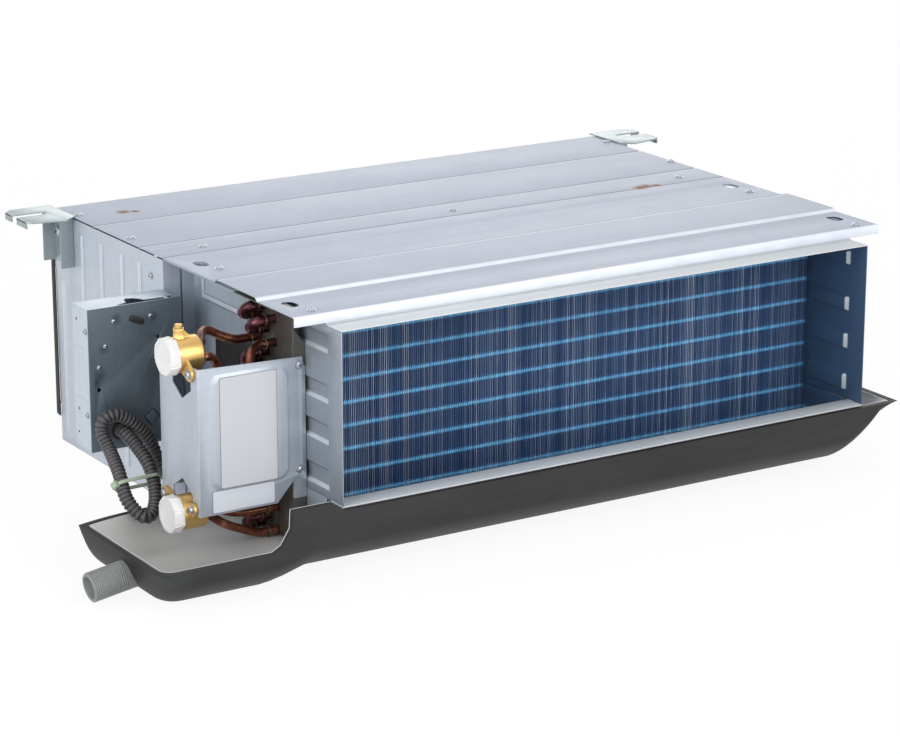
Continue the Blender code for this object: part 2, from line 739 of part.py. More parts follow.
def make_fin_pack():
    """Fins as a comb: slots between fins on the outlet face, solid round the tubes behind them."""
    half = COIL_X - SHEET - GAP
    front = from_front(COIL_FRONT)
    rear = front + COIL_ROWS * ROW_PITCH
    count = int(2 * half / FIN_PITCH)
    first = -FIN_PITCH * (count - 1) / 2
    outline = [(-half, front)]
    for i in range(count):
        low = first + FIN_PITCH * i - FIN_SLOT_WIDTH / 2
        high = low + FIN_SLOT_WIDTH
        root = front + FIN_SLOT_DEPTH
        outline += [(low, front), (low, root), (high, root), (high, front)]
    outline += [(half, front), (half, rear), (-half, rear)]
    bm = bmesh.new()
    add_prism(bm, outline, "Z", drop(COIL_BOTTOM_DROP), drop(COIL_TOP_DROP))
    bores = bmesh.new()
    for _, _, centre in tube_places():
        add_cylinder(bores, "X", centre, TUBE_RADIUS + TUBE_HOLE_CLEARANCE,
                     -half - CUTTER_REACH, half + CUTTER_REACH, 6)
    make_part("fin_pack", bm, "aluminium_fin", cuts=(make_tool("fin_bores", bores),))


def upper_circuit():
    """Tubes of the first circuit in the order the water takes: down the back, then to the front."""
    down_the_back = [(2, k) for k in range(2, 10)]
    return [(2, 1), (2, 0), (1, 0), (0, 0), (1, 1), (1, 2)] + down_the_back + [(1, 9), (0, 9)]


def lower_circuit():
    """Tubes of the second circuit: a zigzag between the middle row and the front row."""
    return [(0, 1), (0, 2)] + [(row, k) for k in range(3, 9) for row in (1, 0)]


def circuit_path(tubes):
    """Centre line of a circuit: it enters and leaves at the left, and turns outside both tube sheets."""
    path = []
    left = -(COIL_X + GAP)
    sign = 1
    first = tube_centre(*tubes[0])
    path.append(Vector((left, *first)))
    for here, after in zip(tubes, tubes[1:]):
        path += bend_points(tube_centre(*here), tube_centre(*after), sign)
        sign = -sign
    path.append(Vector((left, *tube_centre(*tubes[-1]))))
    return path


def bend_points(first, second, sign):
    """Half-round return bend between two tubes; the header side's bends stand further out."""
    base = COIL_X + (TUBE_STUB if sign < 0 else HAIRPIN_STUB)
    middle = ((first[0] + second[0]) / 2, (first[1] + second[1]) / 2)
    half = ((second[0] - first[0]) / 2, (second[1] - first[1]) / 2)
    radius = hypot(*half)
    points = []
    for i in range(BEND_STEPS + 1):
        angle = pi * i / BEND_STEPS
        points.append(Vector((sign * (base + radius * sin(angle)), middle[0] - half[0] * cos(angle),
                              middle[1] - half[1] * cos(angle))))
    return points


def make_circuits():
    for name, tubes in (("coil_circuit_upper", upper_circuit()), ("coil_circuit_lower", lower_circuit())):
        bm = bmesh.new()
        add_swept_tube(bm, circuit_path(tubes), TUBE_RADIUS, 6)
        make_part(name, bm, "copper", smooth_angle=50)


# Headers with their bracket

def header_axis(header_drop):
    return (from_front(HEADER_FROM_FRONT), drop(header_drop))


def lug_places():
    """Lug screws on the bracket's wing: header drop, distance from the front, distance down."""
    return ((HEADER_UPPER_DROP, 49.5 * MM, 51 * MM), (HEADER_LOWER_DROP, 49.5 * MM, 175 * MM),
            (HEADER_LOWER_DROP, 102 * MM, 174 * MM))


def make_headers():
    outboard = from_left(-HEADER_OUTBOARD)
    inboard = from_left(-HEADER_INBOARD)
    wing = from_left(-BRACKET_LEFT)
    for name, header_drop in (("header_upper", HEADER_UPPER_DROP), ("header_lower", HEADER_LOWER_DROP)):
        centre = header_axis(header_drop)
        chamfer = HEADER_CHAMFER
        profile = [(outboard, HEADER_BORE), (outboard, HEADER_RADIUS), (inboard - chamfer, HEADER_RADIUS),
                   (inboard, HEADER_RADIUS - chamfer), (inboard, 0.0), (outboard + HEADER_SOCKET_DEPTH, 0.0),
                   (outboard + HEADER_SOCKET_DEPTH, HEADER_BORE)]
        bm = bmesh.new()
        add_lathe(bm, profile, "X", centre, 16)
        helpers = []
        holes = bmesh.new()
        for n, (lug_drop, behind, down) in enumerate(lug_places()):
            if lug_drop != header_drop:
                continue
            lug = bmesh.new()
            add_prism(lug, lug_outline(centre, (from_front(behind), drop(down))), "X",
                      wing - SHEET - GAP - LUG_THICKNESS, wing - SHEET - GAP)
            helpers.append(make_tool(name + "_lug_" + str(n), lug))
            cut_screw_hole(holes, "X", (from_front(behind), drop(down)), wing - 2 * CUTTER_REACH,
                           wing + 2 * CUTTER_REACH)
        cutters = [make_tool(name + "_lug_holes", holes)]
        if name == "header_upper":
            boss = bmesh.new()
            top = centre[1] + HEADER_RADIUS + VENT_BOSS_HEIGHT
            x = from_left(-VENT_OUTBOARD)
            add_cylinder(boss, "Z", (x, centre[0]), VENT_BOSS_RADIUS, centre[1] + HEADER_RADIUS - 3 * MM,
                         top, 10)
            helpers.append(make_tool("vent_boss", boss))
            seat = bmesh.new()
            add_cylinder(seat, "Z", (x, centre[0]), VENT_SCREW_RADIUS + GAP,
                         top - VENT_SCREW_LENGTH - MM, top + MM, 8)
            cutters.append(make_tool("vent_seat", seat))
        make_part(name, bm, "brass", unions=helpers, cuts=cutters, smooth_angle=35)


def lug_outline(body, screw):
    """Outline of a lug: a round end at the screw, its sides running into the round body."""
    away = Vector((screw[0] - body[0], screw[1] - body[1]))
    unit = away.normalized()
    side = Vector((-unit.y, unit.x))
    root = Vector(body) + unit * (HEADER_RADIUS - 5 * MM)
    outline = [root - side * LUG_RADIUS]
    for i in range(7):
        angle = -pi / 2 + pi * i / 6
        outline.append(Vector(screw) + LUG_RADIUS * (unit * cos(angle) + side * sin(angle)))
    outline.append(root + side * LUG_RADIUS)
    return [tuple(point) for point in outline]


def make_vent_screw():
    centre_y, centre_z = header_axis(HEADER_UPPER_DROP)
    top = centre_z + HEADER_RADIUS + VENT_BOSS_HEIGHT
    rim = 0.6 * MM
    head_top = GAP + VENT_HEAD_HEIGHT
    profile = [(-VENT_SCREW_LENGTH, 0.0), (-VENT_SCREW_LENGTH, VENT_SCREW_RADIUS), (GAP, VENT_SCREW_RADIUS),
               (GAP, VENT_SCREW_HEAD), (head_top - rim, VENT_SCREW_HEAD), (head_top, VENT_SCREW_HEAD - rim),
               (head_top, 0.0)]
    x = from_left(-VENT_OUTBOARD)
    bm = bmesh.new()
    add_lathe(bm, profile, "Z", (0.0, 0.0), 12)
    slot = bmesh.new()
    half = VENT_SLOT_WIDTH / 2
    add_box(slot, (-5 * MM, 5 * MM), (-half, half), (head_top - VENT_SLOT_WIDTH, head_top + MM))
    cutter = make_tool("vent_screw_slot", slot)
    cutter.location = (x, centre_y, top)
    screw = make_part("air_vent_screw", bm, "brass", cuts=(cutter,), smooth_angle=35)
    screw.location = (x, centre_y, top)


def make_header_caps():
    outboard = from_left(-HEADER_OUTBOARD)
    drops = {"header_cap_upper": HEADER_UPPER_DROP, "header_cap_lower": HEADER_LOWER_DROP}
    for name, header_drop in drops.items():
        centre = header_axis(header_drop)
        radius = CAP_ACROSS / 2 / cos(pi / 8)
        head = circle(centre, radius, 8, pi / 8)
        bm = bmesh.new()
        add_prism(bm, head, "X", outboard - GAP - CAP_THICKNESS, outboard - GAP)
        plug = bmesh.new()
        add_cylinder(plug, "X", centre, HEADER_BORE - 2 * GAP, outboard - GAP - 0.5 * CAP_THICKNESS,
                     outboard + HEADER_SOCKET_DEPTH - MM, 16)
        make_part(name, bm, "white_plastic", unions=(make_tool(name + "_plug", plug),))


def make_header_bracket():
    """Plate in front, wing at its left with a notch for each header, raised field on the plate."""
    left = from_left(-BRACKET_LEFT)
    right = from_left(BRACKET_RIGHT)
    top = drop(BRACKET_TOP_DROP)
    low = drop(BRACKET_BOTTOM_DROP)
    back = SHEET_FRONT - GAP
    front = back - SHEET
    plate = [(left, low), (from_left(2 * MM), low), (right - 8 * MM, drop(159 * MM)),
             (right, drop(157 * MM)), (right, top - 3 * MM), (left, top)]
    bm = bmesh.new()
    add_prism(bm, plate, "Y", front, back)

    def at(behind, down):
        return (from_front(behind * MM), drop(down * MM))

    wing = [(front, low), (front, top), at(52, 45), at(52, 67), at(69.5, 78), at(87, 67), at(87, 52),
            (from_front(BRACKET_WING_REAR), drop(56 * MM)), (from_front(BRACKET_WING_REAR), drop(186 * MM)),
            at(90, 186), at(90, 163), at(72, 152), at(53, 163), at(53, 181)]
    wing_bm = bmesh.new()
    add_prism(wing_bm, wing, "X", left - SHEET, left)
    web = bmesh.new()
    add_box(web, (left - SHEET, left + SHEET), (front, back), (low, top))
    emboss = bmesh.new()
    add_raised_field(emboss, [from_left(x) for x in BRACKET_FIELD_X], [drop(z) for z in BRACKET_FIELD_DROPS],
                     front)
    wing_holes = bmesh.new()
    for _, behind, down in lug_places():
        cut_screw_hole(wing_holes, "X", (from_front(behind), drop(down)), left - 5 * MM, left + 5 * MM)
    for down in BRACKET_SCREW_DROPS:
        cut_screw_hole(wing_holes, "Y", (from_left(BRACKET_SCREW_X), drop(down)),
                       front - CUTTER_REACH, back + 0.2 * MM)
    make_part("header_bracket", bm, "galvanised_steel",
              unions=(make_tool("bracket_web", web), make_tool("bracket_wing", wing_bm),
                      make_tool("bracket_field", emboss)),
              cuts=(make_tool("bracket_holes", wing_holes),))


def add_raised_field(bm, xs, zs, seat):
    """Raised rectangular field with cut corners and sloping sides, pressed towards -Y."""
    slope = 3 * MM
    corner = 7 * MM

    def ring(inset, y):
        x0, x1 = xs[0] + inset, xs[1] - inset
        z0, z1 = zs[0] + inset, zs[1] - inset
        points = [(x0 + corner, z0), (x1 - corner, z0), (x1, z0 + corner), (x1, z1 - corner),
                  (x1 - corner, z1), (x0 + corner, z1), (x0, z1 - corner), (x0, z0 + corner)]
        return [bm.verts.new((x, y, z)) for x, z in points]

    rings = [ring(0.0, seat + 0.5 * SHEET), ring(0.0, seat), ring(slope, seat - BRACKET_EMBOSS_RISE)]
    faces = [bm.faces.new(rings[0]), bm.faces.new(rings[-1])]
    for first, second in zip(rings, rings[1:]):
        for i in range(8):
            j = (i + 1) % 8
            faces.append(bm.faces.new((first[i], first[j], second[j], second[i])))
    bmesh.ops.recalc_face_normals(bm, faces=faces)


def make_feeders():
    """Two pipes from each header to an open tube end of the coil, through points measured in mm."""
    step = HEADER_INBOARD / 57
    start = (GAP - HEADER_INBOARD) / step

    sheet = (COIL_INSET - 2 * GAP) / step

    def into_coil(row, k):
        behind = (tube_centre(row, k)[0] - FRONT) / step
        down = (TOP - tube_centre(row, k)[1]) / step / TALL
        return [(4, behind, down), (11, behind, down), (sheet, behind, down)]

    def out_of_header(behind, down):
        return [(start, behind, down), (start + 5, behind, down)]

    upper_rear = [(-43, 92, 29), (-33, 99.5, 29), (-20, 100.5, 36), (-6, 99.7, 41.5)]
    upper_rear = out_of_header(76, 33) + upper_rear + into_coil(2, 1)
    upper_front = [(-40, 78, 48), (-32, 84, 58), (-27, 80, 72), (-22, 66, 80), (-17, 55, 72), (-14, 56, 58),
                   (-8, 65, 46)]
    upper_front = out_of_header(64, 42) + upper_front + into_coil(0, 1)
    lower_outer = [(-35, 71, 202), (-16, 72, 211), (-3, 73, 216.5)]
    lower_outer = out_of_header(70, 190) + lower_outer + into_coil(0, 9)
    lower_inner = [(-40, 79, 188), (-24, 78, 195), (-8, 74.5, 196.5)]
    lower_inner = out_of_header(76, 178) + lower_inner + into_coil(0, 8)
    for name, points in (("feeder_upper_rear", upper_rear), ("feeder_upper_front", upper_front),
                         ("feeder_lower_outer", lower_outer), ("feeder_lower_inner", lower_inner)):
        bm = bmesh.new()
        add_swept_tube(bm, measured_path(points, step, FRONT, 9 * step), FEEDER_RADIUS, 8)
        make_part(name, bm, "copper", smooth_angle=50)


# Drain pan and its insulation

def pan_stations(inset):
    """Cross-sections along X: x, front rim, rear rim, floor at the front bilge and floor under the coil."""
    slack = 4 * GAP if inset > FOAM else 0.0
    left = -PAN_LEFT + inset + slack
    right = CASING_WIDTH + PAN_RIGHT - inset - slack
    basin = drop(BASIN_RIM_DROP)
    trough = drop(TROUGH_RIM_DROP)
    ear = drop(PAN_EAR_DROP)
    deep = inset
    shallow = drop(TROUGH_FLOOR_DROP) + inset
    stations = []
    for i in range(5):
        angle = pi / 2 * i / 4
        floor = basin - (basin - deep) * sin(angle)
        stations.append((left + PAN_BOW * (1 - cos(angle)), basin, basin, floor, floor))
    stations += [(-40 * MM, basin, basin, deep, deep),
                 (-31 * MM, basin + 5 * MM, basin, deep + 1 * MM, deep + 1 * MM),
                 (-22 * MM, basin + 19 * MM, basin, deep + 3 * MM, deep + 3 * MM),
                 (-21 * MM, ear, basin, deep + 3 * MM, deep + 3 * MM), (4 * MM, ear, basin, shallow, shallow),
                 (19 * MM, ear, basin, shallow, shallow), (31 * MM, trough, trough, shallow, shallow)]
    for share in (0.0, 0.31, 0.59, 0.81, 0.94, 0.985):
        rise = (1 - share ** PAN_FULLNESS) ** (1 / PAN_FULLNESS)
        floor = trough - (trough - shallow) * rise
        stations.append((right - PAN_STERN * (1 - share), trough, trough, floor, shallow))
    stations.append((right, trough, trough, trough, trough))
    return stations


def pan_section(x, rim, rear_rim, floor, deep_floor, inset):
    """Round front and rear bilges between the rims, at one cross-section."""
    front = from_front(-PAN_FRONT + inset)
    rear = from_front(PAN_REAR - inset)
    height = min(PAN_BILGE_HEIGHT, rim - floor)
    points = [Vector((from_left(x), front, rim))]
    for i in range(5):
        angle = pi / 2 * i / 4
        points.append(Vector((from_left(x), front + PAN_BILGE_DEPTH * (1 - cos(angle) ** PAN_FULLNESS),
                              floor + height * (1 - sin(angle) ** PAN_FULLNESS))))
    points.append(Vector((from_left(x), from_front(PAN_DEEP_FROM), deep_floor)))
    height = min(PAN_REAR_BILGE, rear_rim - deep_floor)
    for i in range(3):
        angle = pi / 2 * i / 2
        points.append(Vector((from_left(x), rear - PAN_REAR_BILGE * (1 - sin(angle)),
                              deep_floor + height * (1 - cos(angle)))))
    points.append(Vector((from_left(x), rear + GAP / 10, rear_rim)))
    return points


def pan_grid(inset):
    return [pan_section(*station, inset) for station in pan_stations(inset)]


def make_drain_pan():
    nozzle = bmesh.new()
    centre = (from_front(NOZZLE_FROM_FRONT), drop(NOZZLE_DROP))
    add_cylinder(nozzle, "X", centre, NOZZLE_RADIUS + GAP, from_left(-PAN_LEFT - 10 * MM),
                 from_left(-NOZZLE_ROOT + 25 * MM), 16)
    nozzle_cutter = make_tool("nozzle_cutter", nozzle)
    bm = bmesh.new()
    add_grid_shell(bm, pan_grid(0.0), pan_grid(FOAM))
    make_part("pan_insulation", bm, "black_foam", cuts=(nozzle_cutter,), smooth_angle=40)
    bm = bmesh.new()
    add_grid_shell(bm, pan_grid(FOAM + GAP), pan_grid(FOAM + GAP + PAN_SHEET))
    make_part("drain_pan", bm, "pan_paint", cuts=(nozzle_cutter,), smooth_angle=40)

    tip = from_left(-NOZZLE_TIP)
    root = from_left(-NOZZLE_ROOT)
    profile = [(tip, NOZZLE_BORE), (tip, NOZZLE_RADIUS), (root, NOZZLE_RADIUS), (root, NOZZLE_BORE)]
    bm = bmesh.new()
    add_lathe(bm, profile, "X", centre, 16)
    make_part("drain_nozzle", bm, "grey_plastic", smooth_angle=35)


# Plenum

def make_plenum_sides():
    low = SHEET + GAP
    rear = BACK - SHEET - GAP
    edges = []
    for middle in RIB_FROM_SEAM:
        y = SEAM + middle * DEEP
        edges += [y - RIB_WIDTH / 2, y - RIB_WIDTH / 6, y + RIB_WIDTH / 6, y + RIB_WIDTH / 2]
    us = [SEAM] + edges + [rear]
    short_top = drop(SHORT_RIB_TOP_DROP)
    long_top = drop(RIB_TOP_DROP)
    vs = [low, RIB_BOTTOM, RIB_BOTTOM + RIB_SLOPE, short_top - RIB_SLOPE, short_top, long_top - RIB_SLOPE,
          long_top, UNDER_COVER - GROOVE_DEPTH]

    def height(u, v):
        for n, middle in enumerate(RIB_FROM_SEAM):
            top = vs[3] if n == len(RIB_FROM_SEAM) - 1 else vs[5]
            if abs(u - SEAM - middle * DEEP) < RIB_WIDTH / 5 and vs[2] <= v <= top:
                return RIB_HEIGHT
        return 0.0

    for name, sign in side_pairs():
        def put(u, v, n):
            return Vector((sign * (CASING_WIDTH / 2 + n), u, v))

        bm = bmesh.new()
        add_pressed_plate(bm, us, vs, height, SHEET, put)
        flange = bmesh.new()
        add_box(flange, span(sign, CASING_WIDTH / 2 - PLENUM_FLANGE, CASING_WIDTH / 2 - 0.5 * SHEET),
                (SEAM, SEAM + SHEET), (low, UNDER_COVER - GROOVE_DEPTH))
        holes = bmesh.new()
        low_x, high_x = span(sign, CASING_WIDTH / 2 - CUTTER_REACH, CASING_WIDTH / 2 + CUTTER_REACH)
        for centre in hanger_bolt_places():
            cut_screw_hole(holes, "X", centre, low_x, high_x)
        make_part("plenum_side_" + name, bm, "galvanised_steel",
                  unions=(make_tool("plenum_flange_" + name, flange),),
                  cuts=(make_tool("plenum_side_holes_" + name, holes),))


def make_plenum_floor():
    line = [(SEAM + GAP, 0.0), (BACK, 0.0), (BACK, FLOOR_APRON)]
    bm = bmesh.new()
    add_prism(bm, sheet_outline(line, SHEET), "X", LEFT, RIGHT)
    make_part("plenum_floor", bm, "galvanised_steel")


def outlet_span(sign):
    """Low and high X inside one blower's outlet."""
    half = HOUSING_WIDTH / 2 - SHEET
    centre = sign * HOUSING_CENTRE
    return (centre - half, centre + half)


def tongue_point():
    angle = radians(SCROLL_TONGUE_ANGLE)
    return (-SCROLL_START * cos(angle), SCROLL_START * sin(angle))


def make_fan_deck():
    bm = bmesh.new()
    half = CASING_WIDTH / 2 - SHEET - GAP
    add_box(bm, (-half, half), (DECK_FRONT, DECK_BACK), (SHEET + GAP, UNDER_COVER))
    holes = bmesh.new()
    low = FAN_Z + tongue_point()[1] + SHEET
    high = FAN_Z + SCROLL_END - SHEET
    for sign in (-1, 1):
        add_box(holes, outlet_span(sign), (DECK_FRONT - CUTTER_REACH, DECK_BACK + CUTTER_REACH), (low, high))
    make_part("fan_deck", bm, "galvanised_steel", cuts=(make_tool("deck_outlets", holes),))


# Blowers

def scroll_outline(inset):
    """Spiral casing outline round the fan axis, open towards the deck where its neck ends."""
    neck = DECK_BACK + GAP
    start = radians(180 - SCROLL_TONGUE_ANGLE)
    steps = 22
    points = []
    for i in range(steps + 1):
        share = i / steps
        angle = start + share * (2 * pi - (start - pi / 2))
        radius = SCROLL_START + (SCROLL_END - SCROLL_START) * share - inset
        points.append((FAN_Y + radius * cos(angle), FAN_Z + radius * sin(angle)))
    top = FAN_Z + SCROLL_END - inset
    low = FAN_Z + tongue_point()[1] + inset
    return [(neck, low)] + points + [(neck, top)]


def make_housings():
    neck = DECK_BACK + GAP
    for name, sign in side_pairs():
        centre = sign * HOUSING_CENTRE
        half = HOUSING_WIDTH / 2
        outer = scroll_outline(0.0)
        inner = scroll_outline(SHEET)
        inner[0] = (neck - CUTTER_REACH, inner[0][1])
        inner[-1] = (neck - CUTTER_REACH, inner[-1][1])
        bm = bmesh.new()
        add_prism(bm, outer, "X", centre - half, centre + half)
        cavity = bmesh.new()
        add_prism(cavity, inner, "X", centre - half + SHEET, centre + half - SHEET)
        inlet = bmesh.new()
        add_cylinder(inlet, "X", (FAN_Y, FAN_Z), INLET_RADIUS, centre - half - CUTTER_REACH,
                     centre + half + CUTTER_REACH, 24)
        cutters = (make_tool("housing_cavity_" + name, cavity), make_tool("housing_inlets_" + name, inlet))
        make_part("blower_housing_" + name, bm, "galvanised_steel", cuts=cutters, smooth_angle=25)


def blade_outline(angle):
    """Forward-curved blade: a thin arc between the inner and the outer radius."""
    root = IMPELLER_RADIUS - BLADE_DEPTH + BLADE_INSET
    tip = IMPELLER_RADIUS - BLADE_INSET
    lead = radians(BLADE_LEAD)
    near = []
    far = []
    for i in range(3):
        share = i / 2
        radius = root + (tip - root) * share
        turn = angle + lead * share ** 1.6
        half = BLADE_THICKNESS / 2 / radius
        near.append((radius * cos(turn - half), radius * sin(turn - half)))
        far.append((radius * cos(turn + half), radius * sin(turn + half)))
    return near + far[::-1]


def make_rotor():
    shaft_half = HOUSING_CENTRE + HUB_LENGTH / 2 + 3 * MM
    axis = bpy.data.objects.new("rotor_axis", None)
    axis.location = (0.0, FAN_Y, FAN_Z)
    bpy.context.collection.objects.link(axis)
    bm = bmesh.new()
    add_cylinder(bm, "X", (0.0, 0.0), SHAFT_RADIUS, -shaft_half, shaft_half, 12)
    shaft = make_part("fan_shaft", bm, "bright_steel", smooth_angle=40)
    shaft.parent = axis
    bore = SHAFT_RADIUS + GAP
    for name, sign in side_pairs():
        centre = sign * HOUSING_CENTRE
        half = IMPELLER_WIDTH / 2
        disc = DISC_THICKNESS / 2
        boss = HUB_LENGTH / 2
        hub = [(-boss, bore), (-boss, HUB_RADIUS), (-disc, HUB_RADIUS), (-disc, IMPELLER_RADIUS),
               (disc, IMPELLER_RADIUS), (disc, HUB_RADIUS), (boss, HUB_RADIUS), (boss, bore)]
        bm = bmesh.new()
        add_lathe(bm, [(centre + along, radius) for along, radius in hub], "X", (0.0, 0.0), BLADE_COUNT)
        inside = IMPELLER_RADIUS - BLADE_DEPTH
        outside = IMPELLER_RADIUS + RING_OVERHANG
        for low in (centre - half, centre + half - RING_WIDTH):
            high = low + RING_WIDTH
            ring = [(low, inside), (low, outside), (high, outside), (high, inside)]
            add_lathe(bm, ring, "X", (0.0, 0.0), BLADE_COUNT)
        blades = bmesh.new()
        for i in range(BLADE_COUNT):
            add_prism(blades, blade_outline(2 * pi * i / BLADE_COUNT), "X",
                      centre - half + 0.5 * RING_WIDTH, centre + half - 0.5 * RING_WIDTH)
        blade_tool = make_tool("blades_" + name, blades)
        impeller = make_part("impeller_" + name, bm, "galvanised_steel", unions=(blade_tool,),
                             smooth_angle=30)
        impeller.parent = axis
        blade_tool.parent = axis


def make_motor():
    half = MOTOR_LENGTH / 2
    bore = SHAFT_RADIUS + MOTOR_BORE_CLEARANCE
    boss = MOTOR_BOSS_RADIUS
    end = half + MOTOR_BOSS_LENGTH
    pocket = end - BEARING_WIDTH
    seat = BEARING_RADIUS + GAP
    right = [(half - MOTOR_CHAMFER, MOTOR_RADIUS), (half, MOTOR_RADIUS - MOTOR_CHAMFER), (half, boss),
             (end, boss), (end, seat), (pocket, seat), (pocket, bore)]
    profile = [(-x, r) for x, r in reversed(right)] + right
    bm = bmesh.new()
    add_lathe(bm, profile, "X", (FAN_Y, FAN_Z), 20)
    make_part("fan_motor", bm, "motor_steel", smooth_angle=35)
    for name, sign in side_pairs():
        low, high = span(sign, pocket + GAP, end)
        inside = SHAFT_RADIUS + GAP
        ring = [(low, inside), (low, BEARING_RADIUS), (high, BEARING_RADIUS), (high, inside)]
        bm = bmesh.new()
        add_lathe(bm, ring, "X", (FAN_Y, FAN_Z), 12)
        make_part("motor_bearing_" + name, bm, "bright_steel", smooth_angle=40)


def make_motor_cradle():
    """Base on the deck with two arms, each ending in a half-round saddle; straps close the saddles."""
    base = DECK_BACK + GAP
    arm_low = MOTOR_LENGTH / 2 + CRADLE_ARM_INSET
    arm_high = MOTOR_LENGTH / 2 + MOTOR_BOSS_LENGTH - CRADLE_ARM_INSET
    saddle = MOTOR_BOSS_RADIUS + GAP
    half = saddle + CRADLE_FOOT
    bm = bmesh.new()
    add_box(bm, (-arm_high, arm_high), (base, base + CRADLE_PLATE), (FAN_Z - half, FAN_Z + half))
    arms = bmesh.new()
    arc = [(FAN_Y - saddle * sin(pi * i / 10), FAN_Z + saddle * cos(pi * i / 10)) for i in range(11)]
    for name, sign in side_pairs():
        low, high = span(sign, arm_low, arm_high)
        outline = [(base, FAN_Z + half), (base, FAN_Z - half), (FAN_Y, FAN_Z - half)] + arc[::-1]
        outline.append((FAN_Y, FAN_Z + half))
        add_prism(arms, outline, "X", low, high)
        strap = bmesh.new()
        add_prism(strap, strap_outline(saddle, half), "X", low, high)
        make_part("motor_strap_" + name, strap, "galvanised_steel", smooth_angle=35)
    make_part("motor_cradle", bm, "galvanised_steel", unions=(make_tool("cradle_arms", arms),))


def strap_outline(saddle, half):
    """Half band over the motor's boss, with a foot at each end against the saddle arm."""
    face = FAN_Y + GAP
    inner = [(FAN_Y + saddle * sin(pi * i / 10), FAN_Z - saddle * cos(pi * i / 10)) for i in range(11)]
    back = saddle + STRAP_THICKNESS
    outer = [(FAN_Y + back * sin(pi * i / 10), FAN_Z + back * cos(pi * i / 10)) for i in range(1, 10)]
    inner = [(max(y, face), z) for y, z in inner]
    foot = STRAP_FOOT
    return ([(face, FAN_Z - half)] + inner + [(face, FAN_Z + half), (face + foot, FAN_Z + half)] + outer
            + [(face + foot, FAN_Z - half)])


# Filter and rails

def rail_section(open_up):
    """Channel round the filter's edge: y, z points of a U open upwards or downwards."""
    near = BACK + GAP
    far = near + FILTER_THICKNESS + 2 * FILTER_CLEARANCE + 2 * SHEET
    base = RAIL_LOW if open_up else RAIL_HIGH
    tip = base + RAIL_DEPTH if open_up else base - RAIL_DEPTH
    floor = base + SHEET if open_up else base - SHEET
    return [(near, tip), (near, base), (far, base), (far, tip), (far - SHEET, tip), (far - SHEET, floor),
            (near + SHEET, floor), (near + SHEET, tip)]


def filter_span():
    """Low and high Y and Z of the filter between its rails."""
    y = BACK + GAP + SHEET + FILTER_CLEARANCE
    return (y, y + FILTER_THICKNESS), (RAIL_LOW + SHEET + GAP, RAIL_HIGH - SHEET - GAP)


def make_filter():
    for name, open_up in (("filter_rail_bottom", True), ("filter_rail_top", False)):
        bm = bmesh.new()
        add_prism(bm, rail_section(open_up), "X", LEFT, RIGHT)
        make_part(name, bm, "galvanised_steel")
    ys, zs = filter_span()
    half = CASING_WIDTH / 2 - FILTER_INSET
    bm = bmesh.new()
    add_box(bm, (-half, half), ys, zs)
    windows = bmesh.new()
    pitch = 2 * (half - FILTER_FRAME) / (FILTER_RIBS + 1)
    for i in range(FILTER_RIBS + 1):
        low = -half + FILTER_FRAME + pitch * i
        left = low + (FILTER_RIB_WIDTH / 2 if i else 0.0)
        right = low + pitch - (FILTER_RIB_WIDTH / 2 if i < FILTER_RIBS else 0.0)
        add_box(windows, (left, right), (ys[0] - MM, ys[1] + MM),
                (zs[0] + FILTER_FRAME, zs[1] - FILTER_FRAME))
    groove = bmesh.new()
    middle = (ys[0] + ys[1]) / 2
    net_half = half - FILTER_FRAME / 2
    net_low = zs[0] + FILTER_FRAME / 2
    net_high = zs[1] - FILTER_FRAME / 2
    slack = MESH_THICKNESS / 2 + GAP
    add_box(groove, (-net_half - GAP, net_half + GAP), (middle - slack, middle + slack),
            (net_low - GAP, net_high + GAP))
    make_part("air_filter_frame", bm, "black_plastic",
              cuts=(make_tool("filter_windows", windows), make_tool("filter_groove", groove)))
    bm = bmesh.new()
    add_box(bm, (-net_half, net_half), (middle - MESH_THICKNESS / 2, middle + MESH_THICKNESS / 2),
            (net_low, net_high))
    make_part("air_filter_net", bm, "filter_net")


# Hanger brackets

def hanger_bolt_places():
    """Y and Z of the two bolts of each hanger bracket."""
    middle = (HANGER_PLATE_FRONT + HANGER_PLATE_REAR) / 2
    upper, lower = HANGER_BOLT_DROPS
    return ((middle + HANGER_BOLT_OFFSET, drop(upper)), (middle - HANGER_BOLT_OFFSET, drop(lower)))


